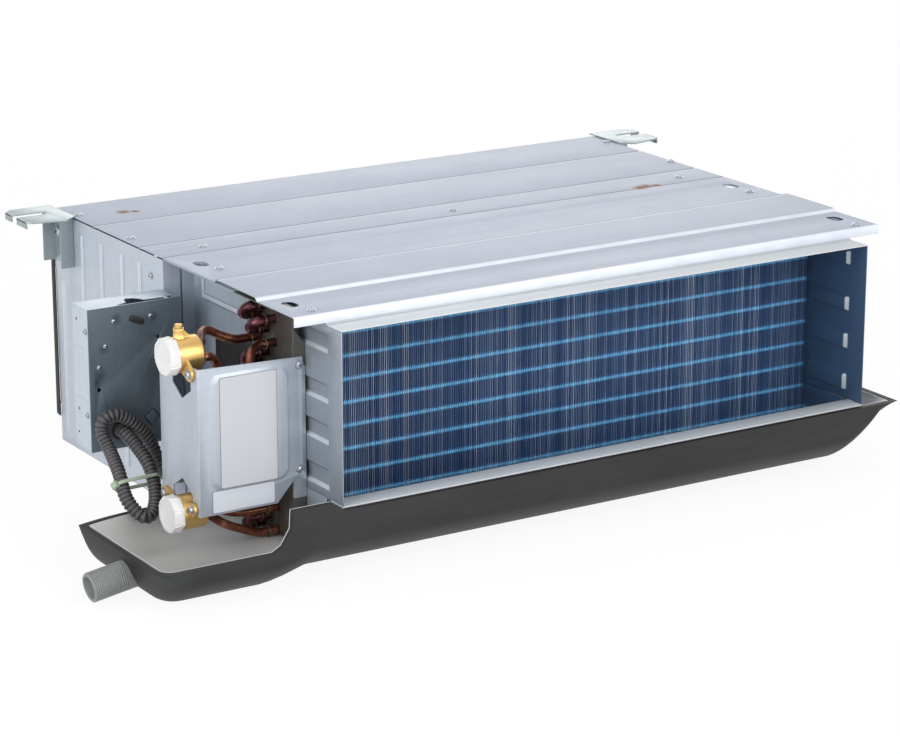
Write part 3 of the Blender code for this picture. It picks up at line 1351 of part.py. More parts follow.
def make_hangers():
    half = CASING_WIDTH / 2
    for name, sign in side_pairs():
        seat = half + GAP
        fork_low = TOP + GAP
        tip = half + HANGER_REACH
        slot_low = HANGER_SLOT_CENTRE - HANGER_SLOT / 2
        slot_high = HANGER_SLOT_CENTRE + HANGER_SLOT / 2
        radius = HANGER_SLOT / 2
        root = half + HANGER_SLOT_ROOT + radius
        bend = [(root - radius * sin(pi * i / 6), HANGER_SLOT_CENTRE - radius * cos(pi * i / 6))
                for i in range(7)]
        corner = HANGER_CORNER
        shoulder = HANGER_FRONT + 1.5 * corner
        fork = [(seat, shoulder), (half + HANGER_LEG, HANGER_FRONT),
                (tip - 0.5 * corner, HANGER_FRONT + corner), (tip, shoulder), (tip, slot_low)]
        fork += bend + [(tip, slot_high), (tip, HANGER_REAR - corner), (tip - corner, HANGER_REAR),
                        (seat, HANGER_REAR)]
        bm = bmesh.new()
        add_prism(bm, [(sign * x, y) for x, y in fork], "Z", fork_low, fork_low + HANGER_SHEET)
        legs = bmesh.new()
        inner = seat + HANGER_SHEET
        front_leg = HANGER_PLATE_FRONT + HANGER_SHEET
        rear_leg = HANGER_PLATE_REAR - HANGER_SHEET
        edge = seat + HANGER_LEG
        channel = [(seat, HANGER_PLATE_FRONT), (seat, HANGER_PLATE_REAR), (edge, HANGER_PLATE_REAR),
                   (edge, rear_leg), (inner, rear_leg), (inner, front_leg), (edge, front_leg),
                   (edge, HANGER_PLATE_FRONT)]
        add_prism(legs, [(sign * x, y) for x, y in channel], "Z", drop(HANGER_PLATE_HEIGHT),
                  fork_low + 0.5 * HANGER_SHEET)
        edges = bmesh.new()
        add_box(edges, span(sign, half + HANGER_LIP_INNER, tip - HANGER_LIP_OUTER),
                (HANGER_REAR - HANGER_SHEET, HANGER_REAR),
                (fork_low + HANGER_SHEET - HANGER_EDGE_DROP, fork_low + 0.5 * HANGER_SHEET))
        holes = bmesh.new()
        low_x, high_x = span(sign, half - CUTTER_REACH, half + CUTTER_REACH)
        for level, centre in zip(("upper", "lower"), hanger_bolt_places()):
            cut_screw_hole(holes, "X", centre, low_x, high_x)
            bolt = bmesh.new()
            add_bolt(bolt, centre, sign, seat + HANGER_SHEET)
            make_part("hanger_bolt_" + name + "_" + level, bolt, "bright_steel", smooth_angle=40)
        make_part("hanger_bracket_" + name, bm, "galvanised_steel",
                  unions=(make_tool("hanger_legs_" + name, legs), make_tool("hanger_edge_" + name, edges)),
                  cuts=(make_tool("hanger_holes_" + name, holes),))


def add_bolt(bm, centre, sign, seat):
    """Hexagon-head bolt along X, its head outside a bracket face."""
    head = seat + GAP
    tip = CASING_WIDTH / 2 - BOLT_TIP
    top = head + BOLT_HEAD_HEIGHT
    profile = [(tip, 0.0), (tip, SCREW_SHANK), (head, SCREW_SHANK), (head, BOLT_HEAD_RADIUS),
               (top, BOLT_HEAD_RADIUS), (top, 0.0)]
    add_lathe(bm, [(sign * along, radius) for along, radius in profile], "X", centre, 6)


# Control box

def box_bounds():
    """Outer low and high X, Y, Z of the control box without its cover."""
    high_y = SEAM - BOX_FROM_SEAM
    return ((from_left(-BOX_RIGHT - BOX_WIDTH), from_left(-BOX_RIGHT)),
            (high_y - BOX_DEPTH + SHEET, high_y), (drop(BOX_TOP_DROP + BOX_HEIGHT), drop(BOX_TOP_DROP)))


def make_control_box():
    xs, ys, zs = box_bounds()
    bm = bmesh.new()
    add_box(bm, xs, ys, zs)
    cavity = bmesh.new()
    back = ys[1] - SHEET
    add_box(cavity, (xs[0] + SHEET, xs[1] - SHEET), (ys[0] - CUTTER_REACH, back),
            (zs[0] + SHEET, zs[1] - SHEET))
    make_part("control_box", bm, "galvanised_steel", cuts=(make_tool("box_cavity", cavity),))
    bm = bmesh.new()
    cover_y = (ys[0] - GAP - SHEET, ys[0] - GAP)
    add_box(bm, (xs[0], from_left(-BOX_COVER_RIGHT)), cover_y, (zs[0] - SHEET, zs[1]))
    knockout = bmesh.new()
    gland = gland_centre()
    add_cylinder(knockout, "Y", gland, GROMMET_NECK + GAP, cover_y[0] - CUTTER_REACH, cover_y[1] + 2 * MM)
    make_part("control_box_cover", bm, "coated_steel", cuts=(make_tool("gland_hole", knockout),))
    bm = bmesh.new()
    add_box(bm, [from_left(x) for x in BOX_BRACKET_X], (ys[1] + GAP, SEAM - GAP),
            [drop(z) for z in BOX_BRACKET_DROPS])
    make_part("control_box_bracket", bm, "galvanised_steel")
    inside = (("terminal_block", "white_plastic", TERMINAL_BLOCK, TERMINAL_HEIGHT),
              ("motor_capacitor", "black_plastic", CAPACITOR, CAPACITOR_HEIGHT))
    for name, finish_name, (width, depth, height), low in inside:
        left = xs[0] + BOX_PARTS_INSET
        foot = zs[0] + low
        bm = bmesh.new()
        add_box(bm, (left, left + width), (back - GAP - depth, back - GAP), (foot, foot + height))
        make_part(name, bm, finish_name)
    return cover_y[0]


def gland_centre():
    """X and Z where the conduit enters the control box cover."""
    return (from_left(-GLAND_OUTBOARD), drop(GLAND_DROP))


def grommet_centre():
    """Y and Z where the conduit enters the casing side."""
    return (SEAM - GROMMET_FROM_SEAM, drop(GROMMET_DROP))


def make_conduit_fitting(name, axis, centre, face, length):
    """Round fitting outside a sheet, with a neck through it and a bore for the wires."""
    profile = [(-length, GLAND_BORE), (-length, GLAND_RADIUS - MM), (0.0, GLAND_RADIUS),
               (0.0, GROMMET_NECK), (GLAND_NECK_LENGTH, GROMMET_NECK), (GLAND_NECK_LENGTH, GLAND_BORE)]
    bm = bmesh.new()
    add_lathe(bm, [(face + along, radius) for along, radius in profile], axis, centre, 12)
    make_part(name, bm, "black_plastic", smooth_angle=35)


def make_gland_and_grommet(cover_face):
    make_conduit_fitting("conduit_gland", "Y", gland_centre(), cover_face - GAP, GLAND_LENGTH)
    make_conduit_fitting("conduit_grommet", "X", grommet_centre(), -DUCT_X - GAP, GROMMET_LENGTH)


def conduit_points(start, end):
    """The conduit's route, in mm from the left edge, behind the seam and down from the top."""
    out_and_down = [(-69.5, -61, 147), (-67, -71, 153), (-65, -93, 167), (-70, -114, 187), (-81, -128, 199)]
    back_up = [(-92, -129, 199), (-99, -114, 186), (-95, -91, 168), (-91.5, -66, 154), (-93, -55, 141)]
    over = [(-90, -53, 130), (-78, -54, 126), (-63.5, -54, 134), (-49.5, -53, 149), (-41, -53, 164)]
    inward = [(-36, -54, 181), (-27, -53, 193), (-12, -52, 197), (5, -51, 196.5)]
    return ([start, (start[0], start[1] - 7, start[2])] + out_and_down + back_up + over + inward
            + [(end[0] - 7, end[1], end[2]), end])


def make_conduit(cover_face):
    step = BOX_WIDTH / 91
    x, z = gland_centre()
    start = (x - LEFT, cover_face - GAP - GLAND_LENGTH - GAP - SEAM, (TOP - z) / TALL)
    y, z = grommet_centre()
    end = (-DUCT_X - GAP - GROMMET_LENGTH - GAP - LEFT, y - SEAM, (TOP - z) / TALL)
    points = conduit_points([value / step for value in start], [value / step for value in end])
    route = measured_path(points, step, SEAM, 11 * step)
    curve = bpy.data.curves.new("motor_conduit", "CURVE")
    curve.dimensions = "3D"
    curve.bevel_depth = CONDUIT_RADIUS
    curve.bevel_resolution = 2
    curve.use_fill_caps = True
    spline = curve.splines.new("POLY")
    spline.points.add(len(route) - 1)
    for point, place_on_route in zip(spline.points, route):
        point.co = (*place_on_route, 1.0)
    curve.materials.append(finish("black_plastic"))
    obj = bpy.data.objects.new("motor_conduit", curve)
    bpy.context.collection.objects.link(obj)


def make_all():
    clear_scene()
    hanging_holes = hanging_hole_cutter()
    make_top_covers(hanging_holes)
    make_casing_sides(hanging_holes)
    make_casing_floor()
    make_collar()
    make_tube_sheets()
    make_fin_pack()
    make_circuits()
    make_headers()
    make_vent_screw()
    make_header_caps()
    make_header_bracket()
    make_feeders()
    make_drain_pan()
    make_plenum_sides()
    make_plenum_floor()
    make_fan_deck()
    make_housings()
    make_rotor()
    make_motor()
    make_motor_cradle()
    make_filter()
    make_hangers()
    cover_face = make_control_box()
    make_gland_and_grommet(cover_face)
    make_conduit(cover_face)


make_all()
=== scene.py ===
import json
from math import atan2, ceil, cos, floor, hypot, pi, radians, sin

import bmesh
import bpy
from mathutils import Euler, Matrix, Vector

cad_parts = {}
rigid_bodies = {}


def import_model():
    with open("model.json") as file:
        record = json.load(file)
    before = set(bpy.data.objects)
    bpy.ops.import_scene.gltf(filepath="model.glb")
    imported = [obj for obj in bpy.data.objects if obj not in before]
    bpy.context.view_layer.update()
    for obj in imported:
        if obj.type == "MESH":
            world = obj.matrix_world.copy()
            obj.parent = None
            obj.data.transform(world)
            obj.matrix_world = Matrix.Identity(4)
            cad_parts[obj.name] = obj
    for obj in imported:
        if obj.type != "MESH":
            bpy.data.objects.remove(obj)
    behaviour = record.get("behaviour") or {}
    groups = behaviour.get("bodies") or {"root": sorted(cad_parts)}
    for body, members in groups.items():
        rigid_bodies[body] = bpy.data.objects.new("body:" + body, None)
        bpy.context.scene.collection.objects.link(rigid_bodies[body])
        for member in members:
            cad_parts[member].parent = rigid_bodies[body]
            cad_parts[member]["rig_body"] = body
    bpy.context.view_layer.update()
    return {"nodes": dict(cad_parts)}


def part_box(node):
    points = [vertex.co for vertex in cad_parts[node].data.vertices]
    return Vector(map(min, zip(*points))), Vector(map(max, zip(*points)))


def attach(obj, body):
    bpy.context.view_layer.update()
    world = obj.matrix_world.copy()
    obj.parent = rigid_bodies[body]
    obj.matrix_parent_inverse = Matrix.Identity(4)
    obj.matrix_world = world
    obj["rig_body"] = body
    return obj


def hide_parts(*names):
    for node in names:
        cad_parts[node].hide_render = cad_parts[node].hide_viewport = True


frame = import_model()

mm = 0.001
nodes = frame["nodes"]
bodyOf = {name: obj["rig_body"] for name, obj in nodes.items()}

# Distances on the unit are read from the top cover's front left corner:
# across to the right, back from the front edge, and down from the top face
unit = {"halfWidth": 325, "frontEdge": -370, "height": 241}


def at(across, back, down):
    return Vector((across - unit["halfWidth"], back + unit["frontEdge"], unit["height"] - down)) * mm


print("camera and light")
view = {"place": (-1.5619, -2.6046, 0.9399), "tiltDown": 16.422, "turn": 31.987, "roll": 0.0, "lens": 122.51}


def makeCamera():
    data = bpy.data.cameras.new("photoView")
    data.lens = view["lens"]
    data.sensor_width = 36
    data.sensor_fit = "HORIZONTAL"
    camera = bpy.data.objects.new("photoView", data)
    camera.location = view["place"]
    camera.rotation_euler = (radians(90 - view["tiltDown"]), radians(view["roll"]), radians(-view["turn"]))
    bpy.context.collection.objects.link(camera)
    bpy.context.scene.camera = camera
    bpy.context.scene.view_settings.view_transform = "Standard"


studio = {
    "key": {"place": (0.5, -3.0, 1.35), "aim": (0.0, -0.2, 0.12), "size": 2.0, "power": 52, "colour": (1.0, 0.99, 0.98)},
    "fill": {"place": (-3.0, -1.2, 1.1), "aim": (-0.3, -0.2, 0.1), "size": 2.0, "power": 47, "colour": (0.95, 0.975, 1.0)},
    "top": {"place": (-0.2, 0.5, 3.0), "aim": (0.0, 0.0, 0.2), "size": 2.6, "power": 10, "colour": (0.96, 0.98, 1.0)},
    "rear": {"place": (1.6, 2.6, 1.4), "aim": (0.0, 0.0, 0.1), "size": 2.0, "power": 18, "colour": (1.0, 1.0, 1.0)},
    "room": 0.40, "floorWhite": 0.92, "floorGlow": 0.86, "glowStrength": 1.05,
}


def makeLamp(name, lamp):
    data = bpy.data.lights.new(name, "AREA")
    data.shape = "SQUARE"
    data.size = lamp["size"]
    data.energy = lamp["power"]
    data.color = lamp["colour"]
    obj = bpy.data.objects.new(name, data)
    obj.location = lamp["place"]
    obj.rotation_euler = (Vector(lamp["aim"]) - Vector(lamp["place"])).to_track_quat("-Z", "Y").to_euler()
    bpy.context.collection.objects.link(obj)


def shownToLens(tree):
    # 1 for rays that should meet the white background: camera, mirror and glass rays
    path = tree.nodes.new("ShaderNodeLightPath")
    first = tree.nodes.new("ShaderNodeMath")
    first.operation = "MAXIMUM"
    tree.links.new(path.outputs["Is Camera Ray"], first.inputs[0])
    tree.links.new(path.outputs["Is Transmission Ray"], first.inputs[1])
    second = tree.nodes.new("ShaderNodeMath")
    second.operation = "MAXIMUM"
    tree.links.new(first.outputs[0], second.inputs[0])
    tree.links.new(path.outputs["Is Glossy Ray"], second.inputs[1])
    return second.outputs[0]


def makeRoom():
    world = bpy.data.worlds.new("paleRoom")
    bpy.context.scene.world = world
    world.use_nodes = True
    tree = world.node_tree
    tree.nodes.clear()
    output = tree.nodes.new("ShaderNodeOutputWorld")
    mix = tree.nodes.new("ShaderNodeMixShader")
    soft = tree.nodes.new("ShaderNodeBackground")
    soft.inputs["Color"].default_value = (0.95, 0.97, 1.0, 1.0)
    soft.inputs["Strength"].default_value = studio["room"]
    white = tree.nodes.new("ShaderNodeBackground")
    white.inputs["Color"].default_value = (1.0, 1.0, 1.0, 1.0)
    white.inputs["Strength"].default_value = 1.0
    tree.links.new(shownToLens(tree), mix.inputs[0])
    tree.links.new(soft.outputs[0], mix.inputs[1])
    tree.links.new(white.outputs[0], mix.inputs[2])
    tree.links.new(mix.outputs[0], output.inputs["Surface"])

    bm = bmesh.new()
    bmesh.ops.create_grid(bm, x_segments=1, y_segments=1, size=9.0, matrix=Matrix.Translation((0, 0, -0.0006)))
    mesh = bpy.data.meshes.new("floor")
    bm.to_mesh(mesh)
    bm.free()
    ground = bpy.data.objects.new("floor", mesh)
    bpy.context.collection.objects.link(ground)
    material = bpy.data.materials.new("paleFloor")
    material.use_nodes = True
    tree = material.node_tree
    tree.nodes.clear()
    output = tree.nodes.new("ShaderNodeOutputMaterial")
    matt = tree.nodes.new("ShaderNodeBsdfDiffuse")
    matt.inputs["Color"].default_value = (studio["floorWhite"],) * 3 + (1.0,)
    glow = tree.nodes.new("ShaderNodeEmission")
    glow.inputs["Strength"].default_value = studio["glowStrength"]
    share = tree.nodes.new("ShaderNodeMath")
    share.operation = "MULTIPLY"
    share.inputs[1].default_value = studio["floorGlow"]
    mix = tree.nodes.new("ShaderNodeMixShader")
    tree.links.new(shownToLens(tree), share.inputs[0])
    tree.links.new(share.outputs[0], mix.inputs[0])
    tree.links.new(matt.outputs[0], mix.inputs[1])
    tree.links.new(glow.outputs[0], mix.inputs[2])
    tree.links.new(mix.outputs[0], output.inputs["Surface"])
    ground.data.materials.append(material)


makeCamera()
for lampName in ("key", "fill", "top", "rear"):
    makeLamp(lampName, studio[lampName])
makeRoom()


print("finishes")


def tone(red, green, blue):
    # A colour as a screen shows it, turned to the linear values that a shader takes
    def linear(value):
        value = value / 255
        return value / 12.92 if value <= 0.04045 else ((value + 0.055) / 1.055) ** 2.4
    return (linear(red), linear(green), linear(blue), 1.0)


def newFinish(name):
    material = bpy.data.materials.new(name)
    material.use_nodes = True
    tree = material.node_tree
    return material, tree, tree.nodes["Principled BSDF"]


def mappedCoordinate(tree, scale=(1, 1, 1), turn=(0, 0, 0), place=(0, 0, 0)):
    coordinate = tree.nodes.new("ShaderNodeTexCoord")
    mapping = tree.nodes.new("ShaderNodeMapping")
    mapping.inputs["Location"].default_value = place
    mapping.inputs["Rotation"].default_value = turn
    mapping.inputs["Scale"].default_value = scale
    tree.links.new(coordinate.outputs["Object"], mapping.inputs["Vector"])
    return mapping.outputs["Vector"]


def noise(tree, vector, scale, detail=4.0, rough=0.55, distortion=0.0):
    node = tree.nodes.new("ShaderNodeTexNoise")
    node.inputs["Scale"].default_value = scale
    node.inputs["Detail"].default_value = detail
    node.inputs["Roughness"].default_value = rough
    node.inputs["Distortion"].default_value = distortion
    tree.links.new(vector, node.inputs["Vector"])
    return node.outputs["Fac"]


def cells(tree, vector, scale, output="Color"):
    node = tree.nodes.new("ShaderNodeTexVoronoi")
    node.inputs["Scale"].default_value = scale
    tree.links.new(vector, node.inputs["Vector"])
    return node.outputs[output]


def ramp(tree, value, stops):
    node = tree.nodes.new("ShaderNodeValToRGB")
    elements = node.color_ramp.elements
    while len(elements) < len(stops):
        elements.new(0.5)
    for element, (position, colour) in zip(elements, stops):
        element.position = position
        element.color = colour if len(colour) == 4 else (*colour, 1.0)
    tree.links.new(value, node.inputs["Fac"])
    return node.outputs["Color"]


def grey(value):
    return (value, value, value, 1.0)


def blend(tree, factor, first, second, mode="MIX"):
    node = tree.nodes.new("ShaderNodeMix")
    node.data_type = "RGBA"
    node.blend_type = mode
    for socket, given in ((node.inputs["Factor"], factor), (node.inputs[6], first), (node.inputs[7], second)):
        if hasattr(given, "links"):
            tree.links.new(given, socket)
        else:
            socket.default_value = given
    return node.outputs[2]


def sums(tree, operation, first, second=None):
    node = tree.nodes.new("ShaderNodeMath")
    node.operation = operation
    for socket, given in zip(node.inputs, (first, second)):
        if given is None:
            continue
        if hasattr(given, "links"):
            tree.links.new(given, socket)
        else:
            socket.default_value = given
    return node.outputs[0]


def spread(tree, value, low, high):
    node = tree.nodes.new("ShaderNodeMapRange")
    node.inputs["To Min"].default_value = low
    node.inputs["To Max"].default_value = high
    tree.links.new(value, node.inputs["Value"])
    return node.outputs["Result"]


def bump(tree, shader, height, strength, distance):
    node = tree.nodes.new("ShaderNodeBump")
    node.inputs["Strength"].default_value = strength
    node.inputs["Distance"].default_value = distance
    tree.links.new(height, node.inputs["Height"])
    tree.links.new(node.outputs["Normal"], shader.inputs["Normal"])


def lines(tree, base, places, half, colour, strength, limits=None, measured="Y"):
    # Thin lines of colour at distances behind the front edge, or at heights, kept between two limits on the other axis;
    # used for painted highlights and painted shade along grooves, ribs and bends
    coordinate = tree.nodes.new("ShaderNodeTexCoord")
    split = tree.nodes.new("ShaderNodeSeparateXYZ")
    tree.links.new(coordinate.outputs["Object"], split.inputs[0])
    uneven = noise(tree, mappedCoordinate(tree), 30.0, 3.0, 0.6)

    def metres(axis, value):
        return at(0, value, 0).y if axis == "Y" else value * mm

    other = {"Y": "Z", "Z": "Y"}[measured]
    for place in places:
        away = sums(tree, "ABSOLUTE", sums(tree, "SUBTRACT", split.outputs[measured], metres(measured, place)))
        band = tree.nodes.new("ShaderNodeMapRange")
        tree.links.new(away, band.inputs["Value"])
        band.inputs["From Min"].default_value = half * 0.5 * mm
        band.inputs["From Max"].default_value = half * mm
        band.inputs["To Min"].default_value = strength
        band.inputs["To Max"].default_value = 0.0
        share = sums(tree, "MULTIPLY", band.outputs[0], spread(tree, uneven, 0.6, 1.2))
        if limits is not None:
            share = sums(tree, "MULTIPLY", share, sums(tree, "GREATER_THAN", split.outputs[other], metres(other, limits[0])))
            share = sums(tree, "MULTIPLY", share, sums(tree, "LESS_THAN", split.outputs[other], metres(other, limits[1])))
        base = blend(tree, share, base, colour)
    return base


def zincSheet(name, colour, metal=0.75, rough=(0.34, 0.5), spangle=0.06, dirt=0.12, rollAlong="X", stains=(), paintedLightLines=()):
    # Galvanised sheet: zinc flowers, faint rolling lines, cloudy handling marks
    material, tree, shader = newFinish(name)
    plain = mappedCoordinate(tree)
    stretch = {"X": (1, 26, 26), "Y": (26, 1, 26), "Z": (26, 26, 1)}[rollAlong]
    along = mappedCoordinate(tree, scale=stretch)
    flowers = cells(tree, mappedCoordinate(tree, scale=(1, 1, 1.7)), 150)
    flowerGrey = tree.nodes.new("ShaderNodeRGBToBW")
    tree.links.new(flowers, flowerGrey.inputs[0])
    cloud = noise(tree, plain, 7.0, 5.0, 0.6, 0.4)
    rolling = noise(tree, along, 9.0, 3.0, 0.6)
    base = blend(tree, spread(tree, cloud, 0.0, 1.0), [c * (1 - dirt) for c in colour[:3]] + [1.0], colour)
    base = blend(tree, spangle, base, ramp(tree, flowerGrey.outputs[0], [(0.2, grey(0.35)), (0.8, grey(1.0))]), "MULTIPLY")
    base = blend(tree, 0.10, base, ramp(tree, rolling, [(0.35, grey(0.55)), (0.65, grey(1.0))]), "MULTIPLY")
    for band in paintedLightLines:
        base = lines(tree, base, *band)
    for places, stain, strength in stains:
        base = marks(tree, base, places, stain, strength)
    tree.links.new(base, shader.inputs["Base Color"])
    shader.inputs["Metallic"].default_value = metal
    tree.links.new(spread(tree, noise(tree, plain, 22.0, 4.0, 0.6), *rough), shader.inputs["Roughness"])
    bump(tree, shader, sums(tree, "ADD", rolling, flowerGrey.outputs[0]), 0.12, 0.00012)
    return material


def plainPlastic(name, colour, rough=0.5, grain=0.15, mottle=0.08):
    material, tree, shader = newFinish(name)
    plain = mappedCoordinate(tree)
    cloud = noise(tree, plain, 30.0, 4.0, 0.6)
    base = blend(tree, cloud, [c * (1 - mottle) for c in colour[:3]] + [1.0], colour)
    tree.links.new(base, shader.inputs["Base Color"])
    tree.links.new(spread(tree, cloud, rough - 0.08, rough + 0.08), shader.inputs["Roughness"])
    bump(tree, shader, noise(tree, plain, 900.0, 2.0, 0.5), grain, 0.0002)
    return material


def reflectionShadeSheet(name, colour, reflectedShade, edge, ribEnds):
    # Zinc sheet painted dark blue where X lies below the given edge, as painted shade and a painted reflection of the
    # coil, with paler marks at the front ends of its ribs
    material, tree, shader = newFinish(name)
    coordinate = tree.nodes.new("ShaderNodeTexCoord")
    split = tree.nodes.new("ShaderNodeSeparateXYZ")
    tree.links.new(coordinate.outputs["Object"], split.inputs[0])
    shadedPart = sums(tree, "LESS_THAN", split.outputs["X"], edge)
    cloud = noise(tree, mappedCoordinate(tree, scale=(1, 1, 0.5)), 12.0, 5.0, 0.6)
    dark = blend(tree, cloud, [c * 0.55 for c in reflectedShade[:3]] + [1.0], reflectedShade)
    pale = blend(tree, cloud, [c * 0.85 for c in colour[:3]] + [1.0], colour)
    base = blend(tree, shadedPart, pale, dark)
    for heights in ribEnds:
        base = lines(tree, base, (1.3,), 2.2, [c * 0.8 for c in colour[:3]] + [1.0], 1.1, heights)
    tree.links.new(base, shader.inputs["Base Color"])
    shader.inputs["Metallic"].default_value = 0.3
    tree.links.new(spread(tree, noise(tree, mappedCoordinate(tree), 30.0, 3.0, 0.6), 0.3, 0.45), shader.inputs["Roughness"])
    bump(tree, shader, noise(tree, mappedCoordinate(tree, scale=(26, 26, 1)), 9.0), 0.1, 0.0001)
    return material


def ribbedPlastic(name, groove, ridge):
    # Corrugated sleeve: the tops of the ribs painted paler as a highlight, broken up by noise, from the rib height kept
    # on the mesh
    material, tree, shader = newFinish(name)
    height = tree.nodes.new("ShaderNodeAttribute")
    height.attribute_name = "ribHeight"
    plain = mappedCoordinate(tree)
    ridgeHighlight = sums(tree, "MULTIPLY", height.outputs["Fac"], spread(tree, noise(tree, plain, 45.0, 4.0, 0.6), 0.3, 1.0))
    base = blend(tree, ridgeHighlight, groove, ridge)
    tree.links.new(base, shader.inputs["Base Color"])
    tree.links.new(spread(tree, noise(tree, plain, 60.0), 0.38, 0.55), shader.inputs["Roughness"])
    bump(tree, shader, noise(tree, plain, 700.0, 2.0, 0.5), 0.15, 0.0002)
    return material


def marks(tree, base, places, colour, strength):
    # Small irregular stains at given places: each is (x, y, z, radius) in metres
    coordinate = tree.nodes.new("ShaderNodeTexCoord")
    broken = noise(tree, mappedCoordinate(tree), 240.0, 4.0, 0.7)
    for x, y, z, radius in places:
        distance = tree.nodes.new("ShaderNodeVectorMath")
        distance.operation = "DISTANCE"
        tree.links.new(coordinate.outputs["Object"], distance.inputs[0])
        distance.inputs[1].default_value = (x, y, z)
        near = tree.nodes.new("ShaderNodeMapRange")
        tree.links.new(distance.outputs["Value"], near.inputs["Value"])
        near.inputs["From Max"].default_value = radius
        near.inputs["To Min"].default_value = strength
        near.inputs["To Max"].default_value = 0.0
        base = blend(tree, sums(tree, "MULTIPLY", near.outputs[0], broken), base, colour)
    return base


def closedFoam(name, dark, pale, stained):
    # Closed-cell foam: soft sheen, long cloudy streaks, pores and a few scuffs
    material, tree, shader = newFinish(name)
    streaks = noise(tree, mappedCoordinate(tree, scale=(0.35, 1, 1.4)), 26.0, 5.0, 0.6, 0.5)
    pores = noise(tree, mappedCoordinate(tree), 420.0, 3.0, 0.6)
    base = ramp(tree, streaks, [(0.32, dark), (0.68, pale)])
    base = blend(tree, 0.25, base, ramp(tree, pores, [(0.35, grey(0.4)), (0.6, grey(1.0))]), "MULTIPLY")
    for places, stain, strength in stained:
        base = marks(tree, base, places, stain, strength)
    tree.links.new(base, shader.inputs["Base Color"])
    tree.links.new(spread(tree, streaks, 0.5, 0.75), shader.inputs["Roughness"])
    bump(tree, shader, sums(tree, "ADD", pores, streaks), 0.35, 0.0005)
    return material


def castBrass(name, colour):
    material, tree, shader = newFinish(name)
    plain = mappedCoordinate(tree)
    cloud = noise(tree, plain, 70.0, 5.0, 0.65)
    base = blend(tree, cloud, [c * 0.62 for c in colour[:3]] + [1.0], colour)
    tree.links.new(base, shader.inputs["Base Color"])
    shader.inputs["Metallic"].default_value = 0.85
    tree.links.new(spread(tree, noise(tree, plain, 40.0, 3.0, 0.6), 0.26, 0.46), shader.inputs["Roughness"])
    turning = noise(tree, mappedCoordinate(tree, scale=(12, 1, 1)), 160.0, 2.0, 0.5)
    bump(tree, shader, turning, 0.25, 0.0002)
    return material


def drawnCopper(name, colours):
    # Heat-darkened copper with red and violet patches; its brightest patches are partly worn copper and partly painted
    # highlight
    material, tree, shader = newFinish(name)
    plain = mappedCoordinate(tree)
    heatAndHighlight = noise(tree, plain, 38.0, 5.0, 0.65, 0.6)
    base = ramp(tree, heatAndHighlight, list(zip((0.30, 0.47, 0.60, 0.76), colours)))
    tree.links.new(base, shader.inputs["Base Color"])
    shader.inputs["Metallic"].default_value = 0.8
    tree.links.new(spread(tree, noise(tree, plain, 90.0, 3.0, 0.6), 0.16, 0.42), shader.inputs["Roughness"])
    bump(tree, shader, heatAndHighlight, 0.2, 0.0003)
    return material


